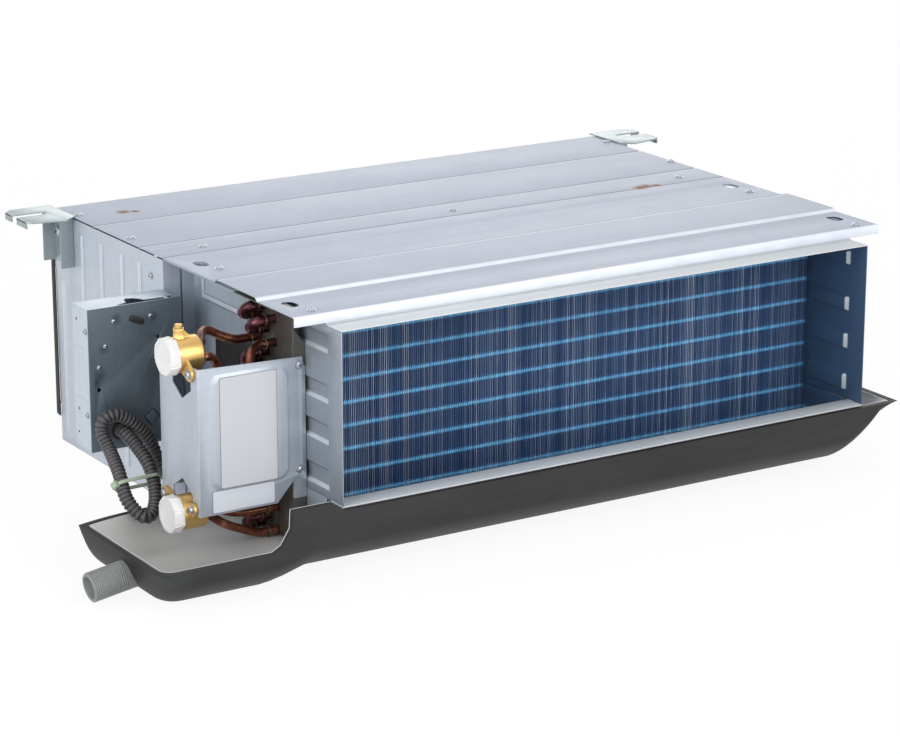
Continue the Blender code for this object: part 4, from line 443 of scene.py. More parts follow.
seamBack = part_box("plenum_side_left")[0].y / mm - unit["frontEdge"]
stains = {
    "rust": ([(*at(546, 254, 0), 0.010), (*at(556, 257, 0), 0.010), (*at(567, 254, 0), 0.007), (*at(51, 437, 0), 0.009),
              (*at(62, 433, 0), 0.006)], tone(120, 84, 50), 2.6),
    "boxClouds": ([(*at(-36, 215, 52), 0.018), (*at(-30, 215, 92), 0.022), (*at(-64, 215, 120), 0.02)], tone(70, 82, 90), 0.8),
    "coverSmudges": ([(*at(-66, 215, 41), 0.007), (*at(-80, 215, 68), 0.006), (*at(-84, 215, 92), 0.008),
                      (*at(-29, 215, 44), 0.006), (*at(-87, 215, 99), 0.006)], tone(30, 34, 38), 1.2),
    "greenSmear": ([(*at(-139, -25, 204), 0.013), (*at(-128, -30, 205), 0.011)], tone(62, 84, 74), 0.6),
}
finishes = {
    # Top sheet lines: painted shade in the rear grooves and behind the raised band, painted highlights on the groove
    # edges and the front lip, and a dark line along the cover seam
    "topSheet": zincSheet("topSheet", tone(182, 188, 200), metal=0.45, rough=(0.52, 0.68), spangle=0.04, dirt=0.07,
                          stains=[stains["rust"]],
                          paintedLightLines=[((seamBack + 49, seamBack + 149), 1.8, tone(112, 118, 130), 0.8), ((67.5,), 3.4, tone(244, 247, 252), 0.8),
                                 ((143.4,), 1.7, tone(138, 144, 156), 0.75), ((seamBack,), 1.2, tone(84, 90, 102), 0.8),
                                 ((seamBack + 45.5, seamBack + 145.5, 139.6), 1.2, tone(240, 243, 250), 0.5),
                                 ((-1.0,), 5.0, tone(232, 237, 246), 0.95, (225, 241.2))]),
    "ledgeSheet": zincSheet("ledgeSheet", tone(222, 226, 229), metal=0.1, rough=(0.45, 0.6), spangle=0.04, dirt=0.1),
    # Painted highlights along the L-shaped bead on the casing side, and a painted shade line just below its horizontal
    # leg
    "casingSheet": zincSheet("casingSheet", tone(182, 192, 203), metal=0.4, rollAlong="Z",
                             paintedLightLines=[((231,), 2.4, tone(240, 246, 252), 0.9, (205, 238)),
                                    ((205,), 2.4, tone(240, 246, 252), 0.9, (117, 233), "Z"),
                                    ((201.4,), 1.2, tone(96, 108, 120), 0.7, (117, 231), "Z")]),
    "hangerSheet": zincSheet("hangerSheet", tone(172, 182, 184), metal=0.55, rough=(0.3, 0.42), dirt=0.2),
    # Painted highlight on one side of each plenum side rib and painted shade on the other
    "plenumSheet": zincSheet("plenumSheet", tone(202, 209, 219), metal=0.3, rollAlong="Z",
                             paintedLightLines=[([seamBack + rib + 1.4 for rib in (48, 86, 131, 174)], 2.2, tone(244, 248, 252), 0.7, (14, 226)),
                                    ([seamBack + 221.4], 2.2, tone(244, 248, 252), 0.7, (14, 170)),
                                    ([seamBack + rib - 3.6 for rib in (48, 86, 131, 174)], 1.3, tone(140, 150, 162), 0.6,
                                     (14, 226))]),
    "sideSheet": zincSheet("sideSheet", tone(206, 214, 224), metal=0.4, rollAlong="Z"),
    # Painted highlights and painted shade lines along the edges of the collar wall's embosses
    "collarSheet": zincSheet("collarSheet", tone(166, 174, 184), metal=0.5, rollAlong="Z",
                             paintedLightLines=[((205.4, 159.4, 121.4, 79.4), 1.9, tone(238, 243, 248), 0.85, (1, 57), "Z"),
                                    ((220.3, 174.3, 137.3, 96.3), 1.2, tone(92, 102, 114), 0.75, (1, 57), "Z")]),
    "bracketSheet": zincSheet("bracketSheet", tone(190, 197, 207), metal=0.4, rollAlong="Z"),
    "innerSheet": zincSheet("innerSheet", tone(150, 160, 170), metal=0.7),
    # A painted highlight along the bend of the end plate's front flange
    "endPlate": zincSheet("endPlate", tone(120, 116, 110), metal=0.6, dirt=0.5, rollAlong="Z",
                          paintedLightLines=[((40.5,), 3.0, tone(184, 190, 194), 1.1, (62, 184))]),
    "shadePlate": zincSheet("shadePlate", tone(70, 86, 108), metal=0.4, dirt=0.3, rollAlong="Z"),
    "boxCover": zincSheet("boxCover", tone(118, 132, 142), metal=0.3, rough=(0.4, 0.55), spangle=0.1, dirt=0.25,
                          rollAlong="Z", stains=[stains["boxClouds"], stains["coverSmudges"]]),
    # Dark blue painted shade and painted reflection of the coil for the right collar wall
    "filmedWall": reflectionShadeSheet("filmedWall", tone(190, 197, 205), tone(78, 106, 138), at(649.4, 0, 0).x,
                              ((206, 219), (160, 173), (122, 136), (80, 95))),
    # Darker finish for the label surrounds, painted shade along the plate edges
    "labelEdge": plainPlastic("labelEdge", tone(132, 138, 146), 0.5, 0.05, 0.1),
    "label": plainPlastic("label", tone(200, 201, 206), 0.42, 0.05, 0.03),
    "sticker": plainPlastic("sticker", tone(212, 215, 222), 0.4, 0.05, 0.05),
    "plug": plainPlastic("plug", tone(44, 36, 34), 0.5, 0.3, 0.3),
    # Paler rib tops on the sleeve are a painted highlight
    "sleeve": ribbedPlastic("sleeve", tone(40, 38, 41), tone(104, 100, 102)),
    "seal": closedFoam("seal", tone(22, 21, 22), tone(38, 36, 37), []),
    "screwZinc": zincSheet("screwZinc", tone(186, 190, 197), metal=0.85, rough=(0.2, 0.3), spangle=0.0),
    "brazeMetal": zincSheet("brazeMetal", tone(128, 112, 98), metal=0.6, rough=(0.35, 0.5), spangle=0.0, dirt=0.4),
    "boltZinc": zincSheet("boltZinc", tone(196, 200, 206), metal=0.85, rough=(0.25, 0.4)),
    "motorShell": zincSheet("motorShell", tone(110, 114, 118), metal=0.5),
    "brass": castBrass("brass", tone(228, 188, 116)),
    # The brightest stops of both copper ramps are partly painted highlight
    "copper": drawnCopper("copper", (tone(62, 40, 38), tone(108, 64, 52), tone(166, 102, 76), tone(226, 164, 124))),
    "bendCopper": drawnCopper("bendCopper", (tone(38, 24, 30), tone(76, 42, 50), tone(120, 70, 70), tone(200, 140, 120))),
    "whitePlastic": plainPlastic("whitePlastic", tone(238, 236, 234), 0.45),
    "greyPlastic": plainPlastic("greyPlastic", tone(138, 140, 139), 0.5),
    "blackPlastic": plainPlastic("blackPlastic", tone(52, 52, 55), 0.5),
    "tiePlastic": plainPlastic("tiePlastic", tone(176, 190, 164), 0.45),
    "foam": closedFoam("foam", tone(19, 17, 18), tone(41, 38, 39), [stains["greenSmear"]]),
    "panPaint": plainPlastic("panPaint", tone(214, 214, 212), 0.5, 0.1, 0.12),
    "filterNet": plainPlastic("filterNet", tone(60, 60, 64), 0.8),
}

print("mesh tools")


def linkMesh(name, bm):
    mesh = bpy.data.meshes.new(name)
    bm.to_mesh(mesh)
    bm.free()
    obj = bpy.data.objects.new(name, mesh)
    bpy.context.collection.objects.link(obj)
    return obj


def applyModifiers(obj):
    bpy.context.view_layer.update()
    graph = bpy.context.evaluated_depsgraph_get()
    mesh = bpy.data.meshes.new_from_object(obj.evaluated_get(graph), depsgraph=graph)
    mesh.name = obj.name
    obj.modifiers.clear()
    obj.data = mesh
    return obj


def settle(obj, body, slotName, material, *replaced, angle=35):
    # The last step of every piece: finish, smoothing, and what it rides on and stands for
    if material is not None:
        obj.data.materials.clear()
        obj.data.materials.append(finishes[material])
    if obj.type == "MESH":
        obj.data.shade_smooth()
        obj.data.set_sharp_from_angle(angle=radians(angle))
    if replaced:
        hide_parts(*replaced)
    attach(obj, body)
    return obj


def shaped(obj, operation, bm):
    # One exact union or cut with a helper that is thrown away afterwards
    helper = linkMesh("helper", bm)
    joining = obj.modifiers.new("shaping", "BOOLEAN")
    joining.operation = operation
    joining.solver = "EXACT"
    joining.object = helper
    applyModifiers(obj)
    bpy.data.objects.remove(helper)
    return obj


def rounded(obj, width, segments=2, angle=28):
    rounding = obj.modifiers.new("rounding", "BEVEL")
    rounding.width = width
    rounding.segments = segments
    rounding.limit_method = "ANGLE"
    rounding.angle_limit = radians(angle)
    rounding.use_clamp_overlap = True
    return applyModifiers(obj)


def softCopy(node, name, width, material, slotName, segments=2, angle=28, limit=0.6, cutters=()):
    # The same shape with its corners rounded, as bent and stamped metal has them
    bm = bmesh.new()
    bm.from_mesh(nodes[node].data)
    bmesh.ops.remove_doubles(bm, verts=bm.verts, dist=0.00002)
    bmesh.ops.dissolve_limit(bm, angle_limit=radians(limit), verts=bm.verts, edges=bm.edges)
    obj = linkMesh(name, bm)
    for cutter in cutters:
        shaped(obj, "DIFFERENCE", cutter)
    rounded(obj, width, segments, angle)
    return settle(obj, bodyOf[node], slotName, material, node)


def boxInto(bm, low, high):
    corners = [bm.verts.new((x, y, z)) for x in (low[0], high[0]) for y in (low[1], high[1]) for z in (low[2], high[2])]
    faces = [(0, 1, 3, 2), (4, 6, 7, 5), (0, 4, 5, 1), (2, 3, 7, 6), (0, 2, 6, 4), (1, 5, 7, 3)]
    made = [bm.faces.new([corners[i] for i in face]) for face in faces]
    bmesh.ops.recalc_face_normals(bm, faces=made)


def axisPoint(axis, along, a, b):
    return Vector({"X": (along, a, b), "Y": (a, along, b), "Z": (a, b, along)}[axis])


def prismInto(bm, outline, axis, low, high):
    lows = [bm.verts.new(axisPoint(axis, low, a, b)) for a, b in outline]
    highs = [bm.verts.new(axisPoint(axis, high, a, b)) for a, b in outline]
    faces = [bm.faces.new(lows), bm.faces.new(highs)]
    for i in range(len(outline)):
        j = (i + 1) % len(outline)
        faces.append(bm.faces.new((lows[i], lows[j], highs[j], highs[i])))
    bmesh.ops.recalc_face_normals(bm, faces=faces)


def turnedInto(bm, profile, axis, centre, sides=32):
    rings = []
    for along, radius in profile:
        if radius == 0:
            rings.append([bm.verts.new(axisPoint(axis, along, *centre))])
            continue
        rings.append([bm.verts.new(axisPoint(axis, along, centre[0] + radius * cos(2 * pi * k / sides),
                                             centre[1] + radius * sin(2 * pi * k / sides))) for k in range(sides)])
    faces = []
    for i, ring in enumerate(rings):
        after = rings[(i + 1) % len(rings)]
        if len(ring) == 1 and len(after) == 1:
            continue
        for k in range(sides):
            m = (k + 1) % sides
            if len(ring) == 1:
                faces.append(bm.faces.new((ring[0], after[k], after[m])))
            elif len(after) == 1:
                faces.append(bm.faces.new((ring[k], ring[m], after[0])))
            else:
                faces.append(bm.faces.new((ring[k], ring[m], after[m], after[k])))
    bmesh.ops.recalc_face_normals(bm, faces=faces)


def smoothRoute(points, spacing):
    knots = [Vector(point) for point in points]
    ends = [knots[0] * 2 - knots[1]] + knots + [knots[-1] * 2 - knots[-2]]
    dense = []
    for i in range(1, len(ends) - 2):
        a, b, c, d = ends[i - 1:i + 3]
        for step in range(16):
            t = step / 16
            dense.append(0.5 * (2 * b + (c - a) * t + (2 * a - 5 * b + 4 * c - d) * t ** 2
                                + (3 * b - a - 3 * c + d) * t ** 3))
    dense.append(knots[-1])
    lengths = [0.0]
    for first, second in zip(dense, dense[1:]):
        lengths.append(lengths[-1] + (second - first).length)
    count = ceil(lengths[-1] / spacing)
    route = []
    segment = 0
    for n in range(count + 1):
        target = lengths[-1] * n / count
        while segment < len(dense) - 2 and lengths[segment + 1] < target:
            segment += 1
        share = (target - lengths[segment]) / (lengths[segment + 1] - lengths[segment])
        route.append(dense[segment].lerp(dense[segment + 1], share))
    return route


def tubeInto(bm, path, radius, sides=14):
    # A round bar along a path; radius may be one number or one for each point
    radii = radius if isinstance(radius, list) else [radius] * len(path)
    points = [Vector(point) for point in path]
    side = None
    rings = []
    for i, point in enumerate(points):
        tangent = (points[min(i + 1, len(points) - 1)] - points[max(i - 1, 0)]).normalized()
        side = tangent.orthogonal() if side is None else side
        side = (side - tangent * side.dot(tangent)).normalized()
        other = tangent.cross(side)
        rings.append([bm.verts.new(point + radii[i] * (side * cos(2 * pi * k / sides) + other * sin(2 * pi * k / sides)))
                      for k in range(sides)])
    faces = [bm.faces.new(rings[0]), bm.faces.new(rings[-1])]
    for first, second in zip(rings, rings[1:]):
        for k in range(sides):
            m = (k + 1) % sides
            faces.append(bm.faces.new((first[k], first[m], second[m], second[k])))
    bmesh.ops.recalc_face_normals(bm, faces=faces)


def newTree(name, inputs):
    # A geometry tree with named inputs; it gives the tree, its input node and its output socket
    tree = bpy.data.node_groups.new(name, "GeometryNodeTree")
    tree.interface.new_socket("Geometry", in_out="INPUT", socket_type="NodeSocketGeometry")
    for label, kind in inputs:
        tree.interface.new_socket(label, in_out="INPUT", socket_type="NodeSocket" + kind)
    tree.interface.new_socket("Geometry", in_out="OUTPUT", socket_type="NodeSocketGeometry")
    source = tree.nodes.new("NodeGroupInput")
    target = tree.nodes.new("NodeGroupOutput")
    return tree, source, target


def runTree(obj, tree, values):
    modifier = obj.modifiers.new(tree.name, "NODES")
    modifier.node_group = tree
    for item in tree.interface.items_tree:
        if item.item_type == "SOCKET" and item.in_out == "INPUT" and item.name in values:
            modifier[item.identifier] = values[item.name]
    return applyModifiers(obj)


def nodeStep(tree, kind, sockets, **settings):
    # Adds one node: settings are its own properties, sockets are values or links for its inputs
    node = tree.nodes.new(kind)
    for label, value in settings.items():
        setattr(node, label, value)
    for label, given in sockets.items():
        if hasattr(given, "is_output"):
            tree.links.new(given, node.inputs[label])
        else:
            node.inputs[label].default_value = given
    return node


def finishTree(tree, geometry, target, material):
    whole = nodeStep(tree, "GeometryNodeRealizeInstances", {"Geometry": geometry})
    painted = nodeStep(tree, "GeometryNodeSetMaterial", {"Geometry": whole.outputs[0], "Material": material})
    tree.links.new(painted.outputs[0], target.inputs[0])


def settlePlain(obj, body, slotName, *replaced, angle=35):
    return settle(obj, body, slotName, None, *replaced, angle=angle)


print("casing sheets")
sheetCopies = {
    "top_cover_front": ("topSheet", "bright_steel"), "top_cover_rear": ("topSheet", "bright_steel"),
    "plenum_side_left": ("plenumSheet", "galvanised_steel"), "plenum_side_right": ("plenumSheet", "galvanised_steel"),
    "casing_side_left": ("casingSheet", "galvanised_steel"), "casing_side_right": ("casingSheet", "galvanised_steel"),
    "outlet_collar_top": ("ledgeSheet", "bright_steel"), "outlet_collar_bottom": ("ledgeSheet", "bright_steel"),
    # The right collar wall takes the painted shade and reflection finish
    "outlet_collar_left": ("collarSheet", "galvanised_steel"), "outlet_collar_right": ("filmedWall", "galvanised_steel"),
    "tube_sheet_left": ("endPlate", "end_plate_steel"), "tube_sheet_right": ("shadePlate", "end_plate_steel"),
    "header_bracket": ("bracketSheet", "galvanised_steel"), "hanger_bracket_left": ("hangerSheet", "galvanised_steel"),
    "hanger_bracket_right": ("hangerSheet", "galvanised_steel"), "control_box_bracket": ("sideSheet", "galvanised_steel"),
    "plenum_floor": ("sideSheet", "galvanised_steel"), "casing_floor": ("sideSheet", "galvanised_steel"),
    "filter_rail_top": ("sideSheet", "galvanised_steel"), "filter_rail_bottom": ("sideSheet", "galvanised_steel"),
}
for nodeName, (material, slotName) in sheetCopies.items():
    softCopy(nodeName, nodeName + "_sheet", 0.4 * mm, material, slotName)
for nodeName in ("blower_housing_left", "blower_housing_right"):
    softCopy(nodeName, nodeName + "_scroll", 0.4 * mm, "innerSheet", "galvanised_steel", angle=34)
softCopy("fan_motor", "fan_motor_shell", 0.8 * mm, "motorShell", "motor_steel", angle=34)

plainNodes = {
    "fan_deck": "innerSheet",
    "impeller_left": "innerSheet", "impeller_right": "innerSheet", "motor_cradle": "innerSheet",
    "motor_strap_left": "innerSheet", "motor_strap_right": "innerSheet", "fan_shaft": "boltZinc",
    "motor_bearing_left": "boltZinc", "motor_bearing_right": "boltZinc",
    "terminal_block": "whitePlastic", "motor_capacitor": "blackPlastic", "air_filter_frame": "blackPlastic",
    "air_vent_screw": "brass", "conduit_gland": "blackPlastic", "conduit_grommet": "blackPlastic",
}
for nodeName, material in plainNodes.items():
    nodes[nodeName].data.materials.clear()
    nodes[nodeName].data.materials.append(finishes[material])


print("coil")
coil = {"rows": 3, "tubesHigh": 10, "rowPitch": 13.3, "tubePitch": 22.0, "front": 66.4, "firstDrop": 20.0,
        "tubeRadius": 4.0, "inset": 20.0, "stub": 11.0, "hairpinStub": 0.5, "finPitch": 1.95, "finThickness": 0.24,
        "top": 3.5, "bottom": 222.0, "collarRadius": 4.9, "collarOval": (1.24, 0.72),
        "bendRadius": 5.0}


def tubeCentre(row, number):
    stagger = -coil["tubePitch"] / 2 if row % 2 else 0.0
    return (coil["front"] + coil["rowPitch"] * (row + 0.5), coil["firstDrop"] + stagger + coil["tubePitch"] * number)


def finFinish():
    # Blue-black coated fins whose sheared front edges are bare and pale, each a little different
    material, tree, shader = newFinish("coatedFin")
    coordinate = tree.nodes.new("ShaderNodeTexCoord")
    split = tree.nodes.new("ShaderNodeSeparateXYZ")
    tree.links.new(coordinate.outputs["Object"], split.inputs[0])
    number = sums(tree, "FLOOR", sums(tree, "DIVIDE", split.outputs["X"], coil["finPitch"] * mm))
    lottery = tree.nodes.new("ShaderNodeTexWhiteNoise")
    lottery.noise_dimensions = "1D"
    tree.links.new(number, lottery.inputs["W"])
    edgeColour = ramp(tree, lottery.outputs["Value"], [(0.0, tone(80, 104, 138)), (0.5, tone(122, 148, 184)),
                                                       (0.82, tone(186, 204, 226)), (1.0, tone(244, 248, 254))])
    edge = sums(tree, "LESS_THAN", split.outputs["Y"], at(0, coil["front"] + 0.5, 0).y)
    body = blend(tree, noise(tree, mappedCoordinate(tree), 60.0), tone(74, 108, 160), tone(108, 150, 205))
    tree.links.new(blend(tree, edge, body, edgeColour), shader.inputs["Base Color"])
    shader.inputs["Metallic"].default_value = 0.3
    shader.inputs["Roughness"].default_value = 0.45
    return material


def collarHighlightFinish():
    # Fin collars in a paler cyan than the fins, a painted highlight for the bright lines along the tube rows
    material, tree, shader = newFinish("finCollar")
    base = ramp(tree, noise(tree, mappedCoordinate(tree), 180.0, 4.0, 0.6),
                [(0.35, tone(70, 158, 206)), (0.65, tone(112, 200, 238))])
    tree.links.new(base, shader.inputs["Base Color"])
    shader.inputs["Metallic"].default_value = 0.0
    shader.inputs["Roughness"].default_value = 0.35
    return material


def makeFins():
    tree, source, target = newTree("finPack", [("Fins", "Int"), ("Pitch", "Float"), ("Fin Size", "Vector"),
                                               ("First Fin", "Vector"), ("Finish", "Material")])
    line = tree.nodes.new("GeometryNodeMeshLine")
    step = tree.nodes.new("ShaderNodeCombineXYZ")
    fin = tree.nodes.new("GeometryNodeMeshCube")
    place = tree.nodes.new("GeometryNodeInstanceOnPoints")
    tree.links.new(source.outputs["Fins"], line.inputs["Count"])
    tree.links.new(source.outputs["First Fin"], line.inputs["Start Location"])
    tree.links.new(source.outputs["Pitch"], step.inputs["X"])
    tree.links.new(step.outputs[0], line.inputs["Offset"])
    tree.links.new(source.outputs["Fin Size"], fin.inputs["Size"])
    tree.links.new(line.outputs[0], place.inputs["Points"])
    tree.links.new(fin.outputs[0], place.inputs["Instance"])
    finishTree(tree, place.outputs[0], target, source.outputs["Finish"])
    low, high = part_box("fin_pack")
    count = floor((high.x - low.x) / (coil["finPitch"] * mm))
    width = (count - 1) * coil["finPitch"] * mm
    middle = (low + high) / 2
    fins = linkMesh("coil_fins", bmesh.new())
    runTree(fins, tree, {"Fins": count, "Pitch": coil["finPitch"] * mm,
                         "Fin Size": (coil["finThickness"] * mm, high.y - low.y, high.z - low.z),
                         "First Fin": (middle.x - width / 2, middle.y, middle.z), "Finish": finFinish()})
    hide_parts("fin_pack")
    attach(fins, bodyOf["fin_pack"])

    bm = bmesh.new()
    for row in range(coil["rows"]):
        for number in range(coil["tubesHigh"]):
            back, down = tubeCentre(row, number)
            ends = [at(0, back, down), at(0, back, down)]
            ends[0].x = low.x
            ends[1].x = high.x
            before = len(bm.verts)
            tubeInto(bm, ends, coil["collarRadius"] * mm, 12)
            bm.verts.ensure_lookup_table()
            for vert in bm.verts[before:]:
                vert.co.y = ends[0].y + (vert.co.y - ends[0].y) * coil["collarOval"][0]
                vert.co.z = ends[0].z + (vert.co.z - ends[0].z) * coil["collarOval"][1]
    collars = linkMesh("fin_collars", bm)
    # the collars carry a painted highlight colour
    collars.data.materials.append(collarHighlightFinish())
    collars.data.shade_smooth()
    collars.data.set_sharp_from_angle(angle=radians(50))
    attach(collars, bodyOf["fin_pack"])


def bendPoints(first, second, sign, steps=14):
    stub = coil["stub"] if sign < 0 else coil["hairpinStub"]
    middle = ((first[0] + second[0]) / 2, (first[1] + second[1]) / 2)
    half = ((second[0] - first[0]) / 2, (second[1] - first[1]) / 2)
    radius = hypot(*half)
    points = []
    for i in range(steps + 1):
        angle = pi * i / steps
        reach = unit["halfWidth"] - coil["inset"] + stub + radius * sin(angle)
        points.append(at(unit["halfWidth"] + sign * reach, middle[0] - half[0] * cos(angle),
                         middle[1] - half[1] * cos(angle)))
    if sign < 0:
        # straight necks through the end plate, before and after the bend
        for tube, end in ((first, 0), (second, len(points))):
            points.insert(end, at(coil["inset"] - 2, *tube))
    return points


def makeCircuits():
    upper = [(2, 1), (2, 0), (1, 0), (0, 0), (1, 1), (1, 2)] + [(2, k) for k in range(2, 10)] + [(1, 9), (0, 9)]
    lower = [(0, 1), (0, 2)] + [(row, k) for k in range(3, 9) for row in (1, 0)]
    edge = coil["inset"] - 0.3
    for name, tubes in (("coil_circuit_upper", upper), ("coil_circuit_lower", lower)):
        bm = bmesh.new()
        path = [at(edge, *tubeCentre(*tubes[0]))]
        sign = 1
        for here, after in zip(tubes, tubes[1:]):
            path += bendPoints(tubeCentre(*here), tubeCentre(*after), sign)
            sign = -sign
        path.append(at(edge, *tubeCentre(*tubes[-1])))
        outside = at(coil["inset"] - 4, 0, 0).x
        radii = [(coil["bendRadius"] if point.x < outside else coil["tubeRadius"]) * mm for point in path]
        tubeInto(bm, path, radii, 18)
        settle(linkMesh(name + "_tube", bm), bodyOf[name], "copper", "bendCopper", name, angle=50)


makeFins()
makeCircuits()


print("feeder pipes")
feeders = {
    "radius": 4.0,
    "routes": {
        "feeder_upper_rear": ((2, 1), (76, 33), [(-43, 92, 29), (-33, 99.5, 29), (-20, 100.5, 36), (-6, 99.7, 41.5)]),
        "feeder_upper_front": ((0, 1), (64, 42), [(-40, 78, 48), (-32, 84, 58), (-27, 80, 72), (-22, 66, 80),
                                                  (-17, 55, 72), (-14, 56, 58), (-8, 65, 46)]),
        "feeder_lower_outer": ((0, 9), (70, 190), [(-35, 71, 202), (-16, 72, 211), (-3, 73, 216.5)]),
        "feeder_lower_inner": ((0, 8), (76, 178), [(-40, 79, 188), (-24, 78, 195), (-8, 74.5, 196.5)]),
    },
}
for nodeName, (tube, start, middle) in feeders["routes"].items():
    back, down = tubeCentre(*tube)
    points = [(-56.7, *start), (-51.7, *start)] + middle + [(4, back, down), (11, back, down), (19.4, back, down)]
    bm = bmesh.new()
    tubeInto(bm, smoothRoute([at(*point) for point in points], 2.5 * mm), feeders["radius"] * mm, 16)
    settle(linkMesh(nodeName + "_pipe", bm), bodyOf[nodeName], "copper", "copper", nodeName, angle=50)


print("headers and caps")
brassware = {
    "axisBack": 70, "downs": {"upper": 38, "lower": 183}, "outboard": -82, "inboard": -57, "radius": 16, "bore": 11.5,
    "socketEnd": -68, "chamfer": 3, "sides": 48, "soften": 0.7,
    "lugs": {"upper": [(49.5, 51)], "lower": [(49.5, 175), (102, 174)]}, "lugRadius": 6.5, "lugFaces": (-78.3, -75.3),
    "lugHole": 2.2, "bossAcross": -76.3, "bossTop": 14, "bossRadius": 5.2,
}
caps = {"outer": -92.3, "inner": -82.3, "across": 32, "rimWidth": 2.6, "recess": 0.9, "notch": 1.3, "soften": 0.8}


def lugOutline(centre, screw, reach):
    away = Vector(screw) - Vector(centre)
    along = away.normalized()
    side = Vector((-along.y, along.x))
    root = Vector(centre) + along * reach
    radius = brassware["lugRadius"] * mm
    ends = [Vector(screw) + radius * (along * cos(-pi / 2 + pi * i / 14) + side * sin(-pi / 2 + pi * i / 14))
            for i in range(15)]
    return [tuple(root - side * radius * 1.25)] + [tuple(point) for point in ends] + [tuple(root + side * radius * 1.25)]


def sidePoint(back, down):
    place = at(0, back, down)
    return (place.y, place.z)


def acrossAt(value):
    return at(value, 0, 0).x


def makeHeader(which):
    b = brassware
    centre = sidePoint(b["axisBack"], b["downs"][which])
    profile = [(b["outboard"], b["bore"]), (b["outboard"], b["radius"]), (b["inboard"] - b["chamfer"], b["radius"]),
               (b["inboard"], b["radius"] - b["chamfer"]), (b["inboard"], 0), (b["socketEnd"], 0), (b["socketEnd"], b["bore"])]
    bm = bmesh.new()
    turnedInto(bm, [(acrossAt(x), r * mm) for x, r in profile], "X", centre, b["sides"])
    header = linkMesh("header_" + which + "_casting", bm)
    for back, down in b["lugs"][which]:
        screw = sidePoint(back, down)
        bm = bmesh.new()
        prismInto(bm, lugOutline(centre, screw, 11 * mm), "X", acrossAt(b["lugFaces"][0]), acrossAt(b["lugFaces"][1]))
        shaped(header, "UNION", bm)
        bm = bmesh.new()
        hole = b["lugHole"] * mm
        turnedInto(bm, [(acrossAt(-90), 0), (acrossAt(-90), hole), (acrossAt(-70), hole), (acrossAt(-70), 0)], "X", screw, 16)
        if hypot(screw[0] - centre[0], screw[1] - centre[1]) > (b["radius"] + b["lugHole"]) * mm:
            shaped(header, "DIFFERENCE", bm)
        else:
            bm.free()
    if which == "upper":
        low = centre[1] + (b["radius"] - 3) * mm
        top = at(0, 0, b["bossTop"]).z
        x = acrossAt(b["bossAcross"])
        bm = bmesh.new()
        turnedInto(bm, [(low, 0), (low, b["bossRadius"] * 1.15 * mm), (top - 3 * mm, b["bossRadius"] * mm),
                        (top, b["bossRadius"] * mm), (top, 0)], "Z", (x, centre[0]), 6)
        shaped(header, "UNION", bm)
        bm = bmesh.new()
        web = [(x, low), (x, top - 1.5 * mm), (x + 4 * mm, top - 2 * mm), (x + 9 * mm, top - 7 * mm), (x + 12 * mm, low)]
        prismInto(bm, [(a, z) for a, z in web], "Y", centre[0] - 3.6 * mm, centre[0] + 3.6 * mm)
        shaped(header, "UNION", bm)
        bm = bmesh.new()
        seat = 2.6 * mm
        turnedInto(bm, [(top - 6 * mm, 0), (top - 6 * mm, seat), (top + mm, seat), (top + mm, 0)], "Z", (x, centre[0]), 20)
        shaped(header, "DIFFERENCE", bm)
    rounded(header, b["soften"] * mm, 2, 32)
    return settle(header, bodyOf["header_" + which], "brass", "brass", "header_" + which, angle=40)


def makeCap(which):
    centre = sidePoint(brassware["axisBack"], brassware["downs"][which])
    corner = caps["across"] / 2 / cos(pi / 8) * mm
    outline = [(centre[0] + corner * cos(pi / 8 + pi / 4 * k), centre[1] + corner * sin(pi / 8 + pi / 4 * k)) for k in range(8)]
    bm = bmesh.new()
    prismInto(bm, outline, "X", acrossAt(caps["outer"]), acrossAt(caps["inner"]))
    cap = linkMesh("header_cap_" + which + "_moulding", bm)
    face = acrossAt(caps["outer"])
    rim = (caps["across"] / 2 - caps["rimWidth"]) * mm
    bm = bmesh.new()
    turnedInto(bm, [(face - mm, 0), (face - mm, rim), (face + caps["recess"] * mm, rim - 0.8 * mm),
                    (face + caps["recess"] * mm, 0)], "X", centre, 48)
    shaped(cap, "DIFFERENCE", bm)
    notch = caps["notch"] * mm
    for y, z in outline:
        bm = bmesh.new()
        turnedInto(bm, [(face - mm, 0), (face - mm, notch), (face + 6.5 * mm, notch), (face + 6.5 * mm, 0)], "X", (y, z), 12)
        shaped(cap, "DIFFERENCE", bm)
    rounded(cap, caps["soften"] * mm, 3, 30)
    return settle(cap, bodyOf["header_cap_" + which], "white_plastic", "whitePlastic", "header_cap_" + which, angle=40)


for which in ("upper", "lower"):
    makeHeader(which)
    makeCap(which)


print("braze rings")
braze = {"across": 10.2, "ring": 4.9, "wire": 0.75, "headerAcross": -56.6}


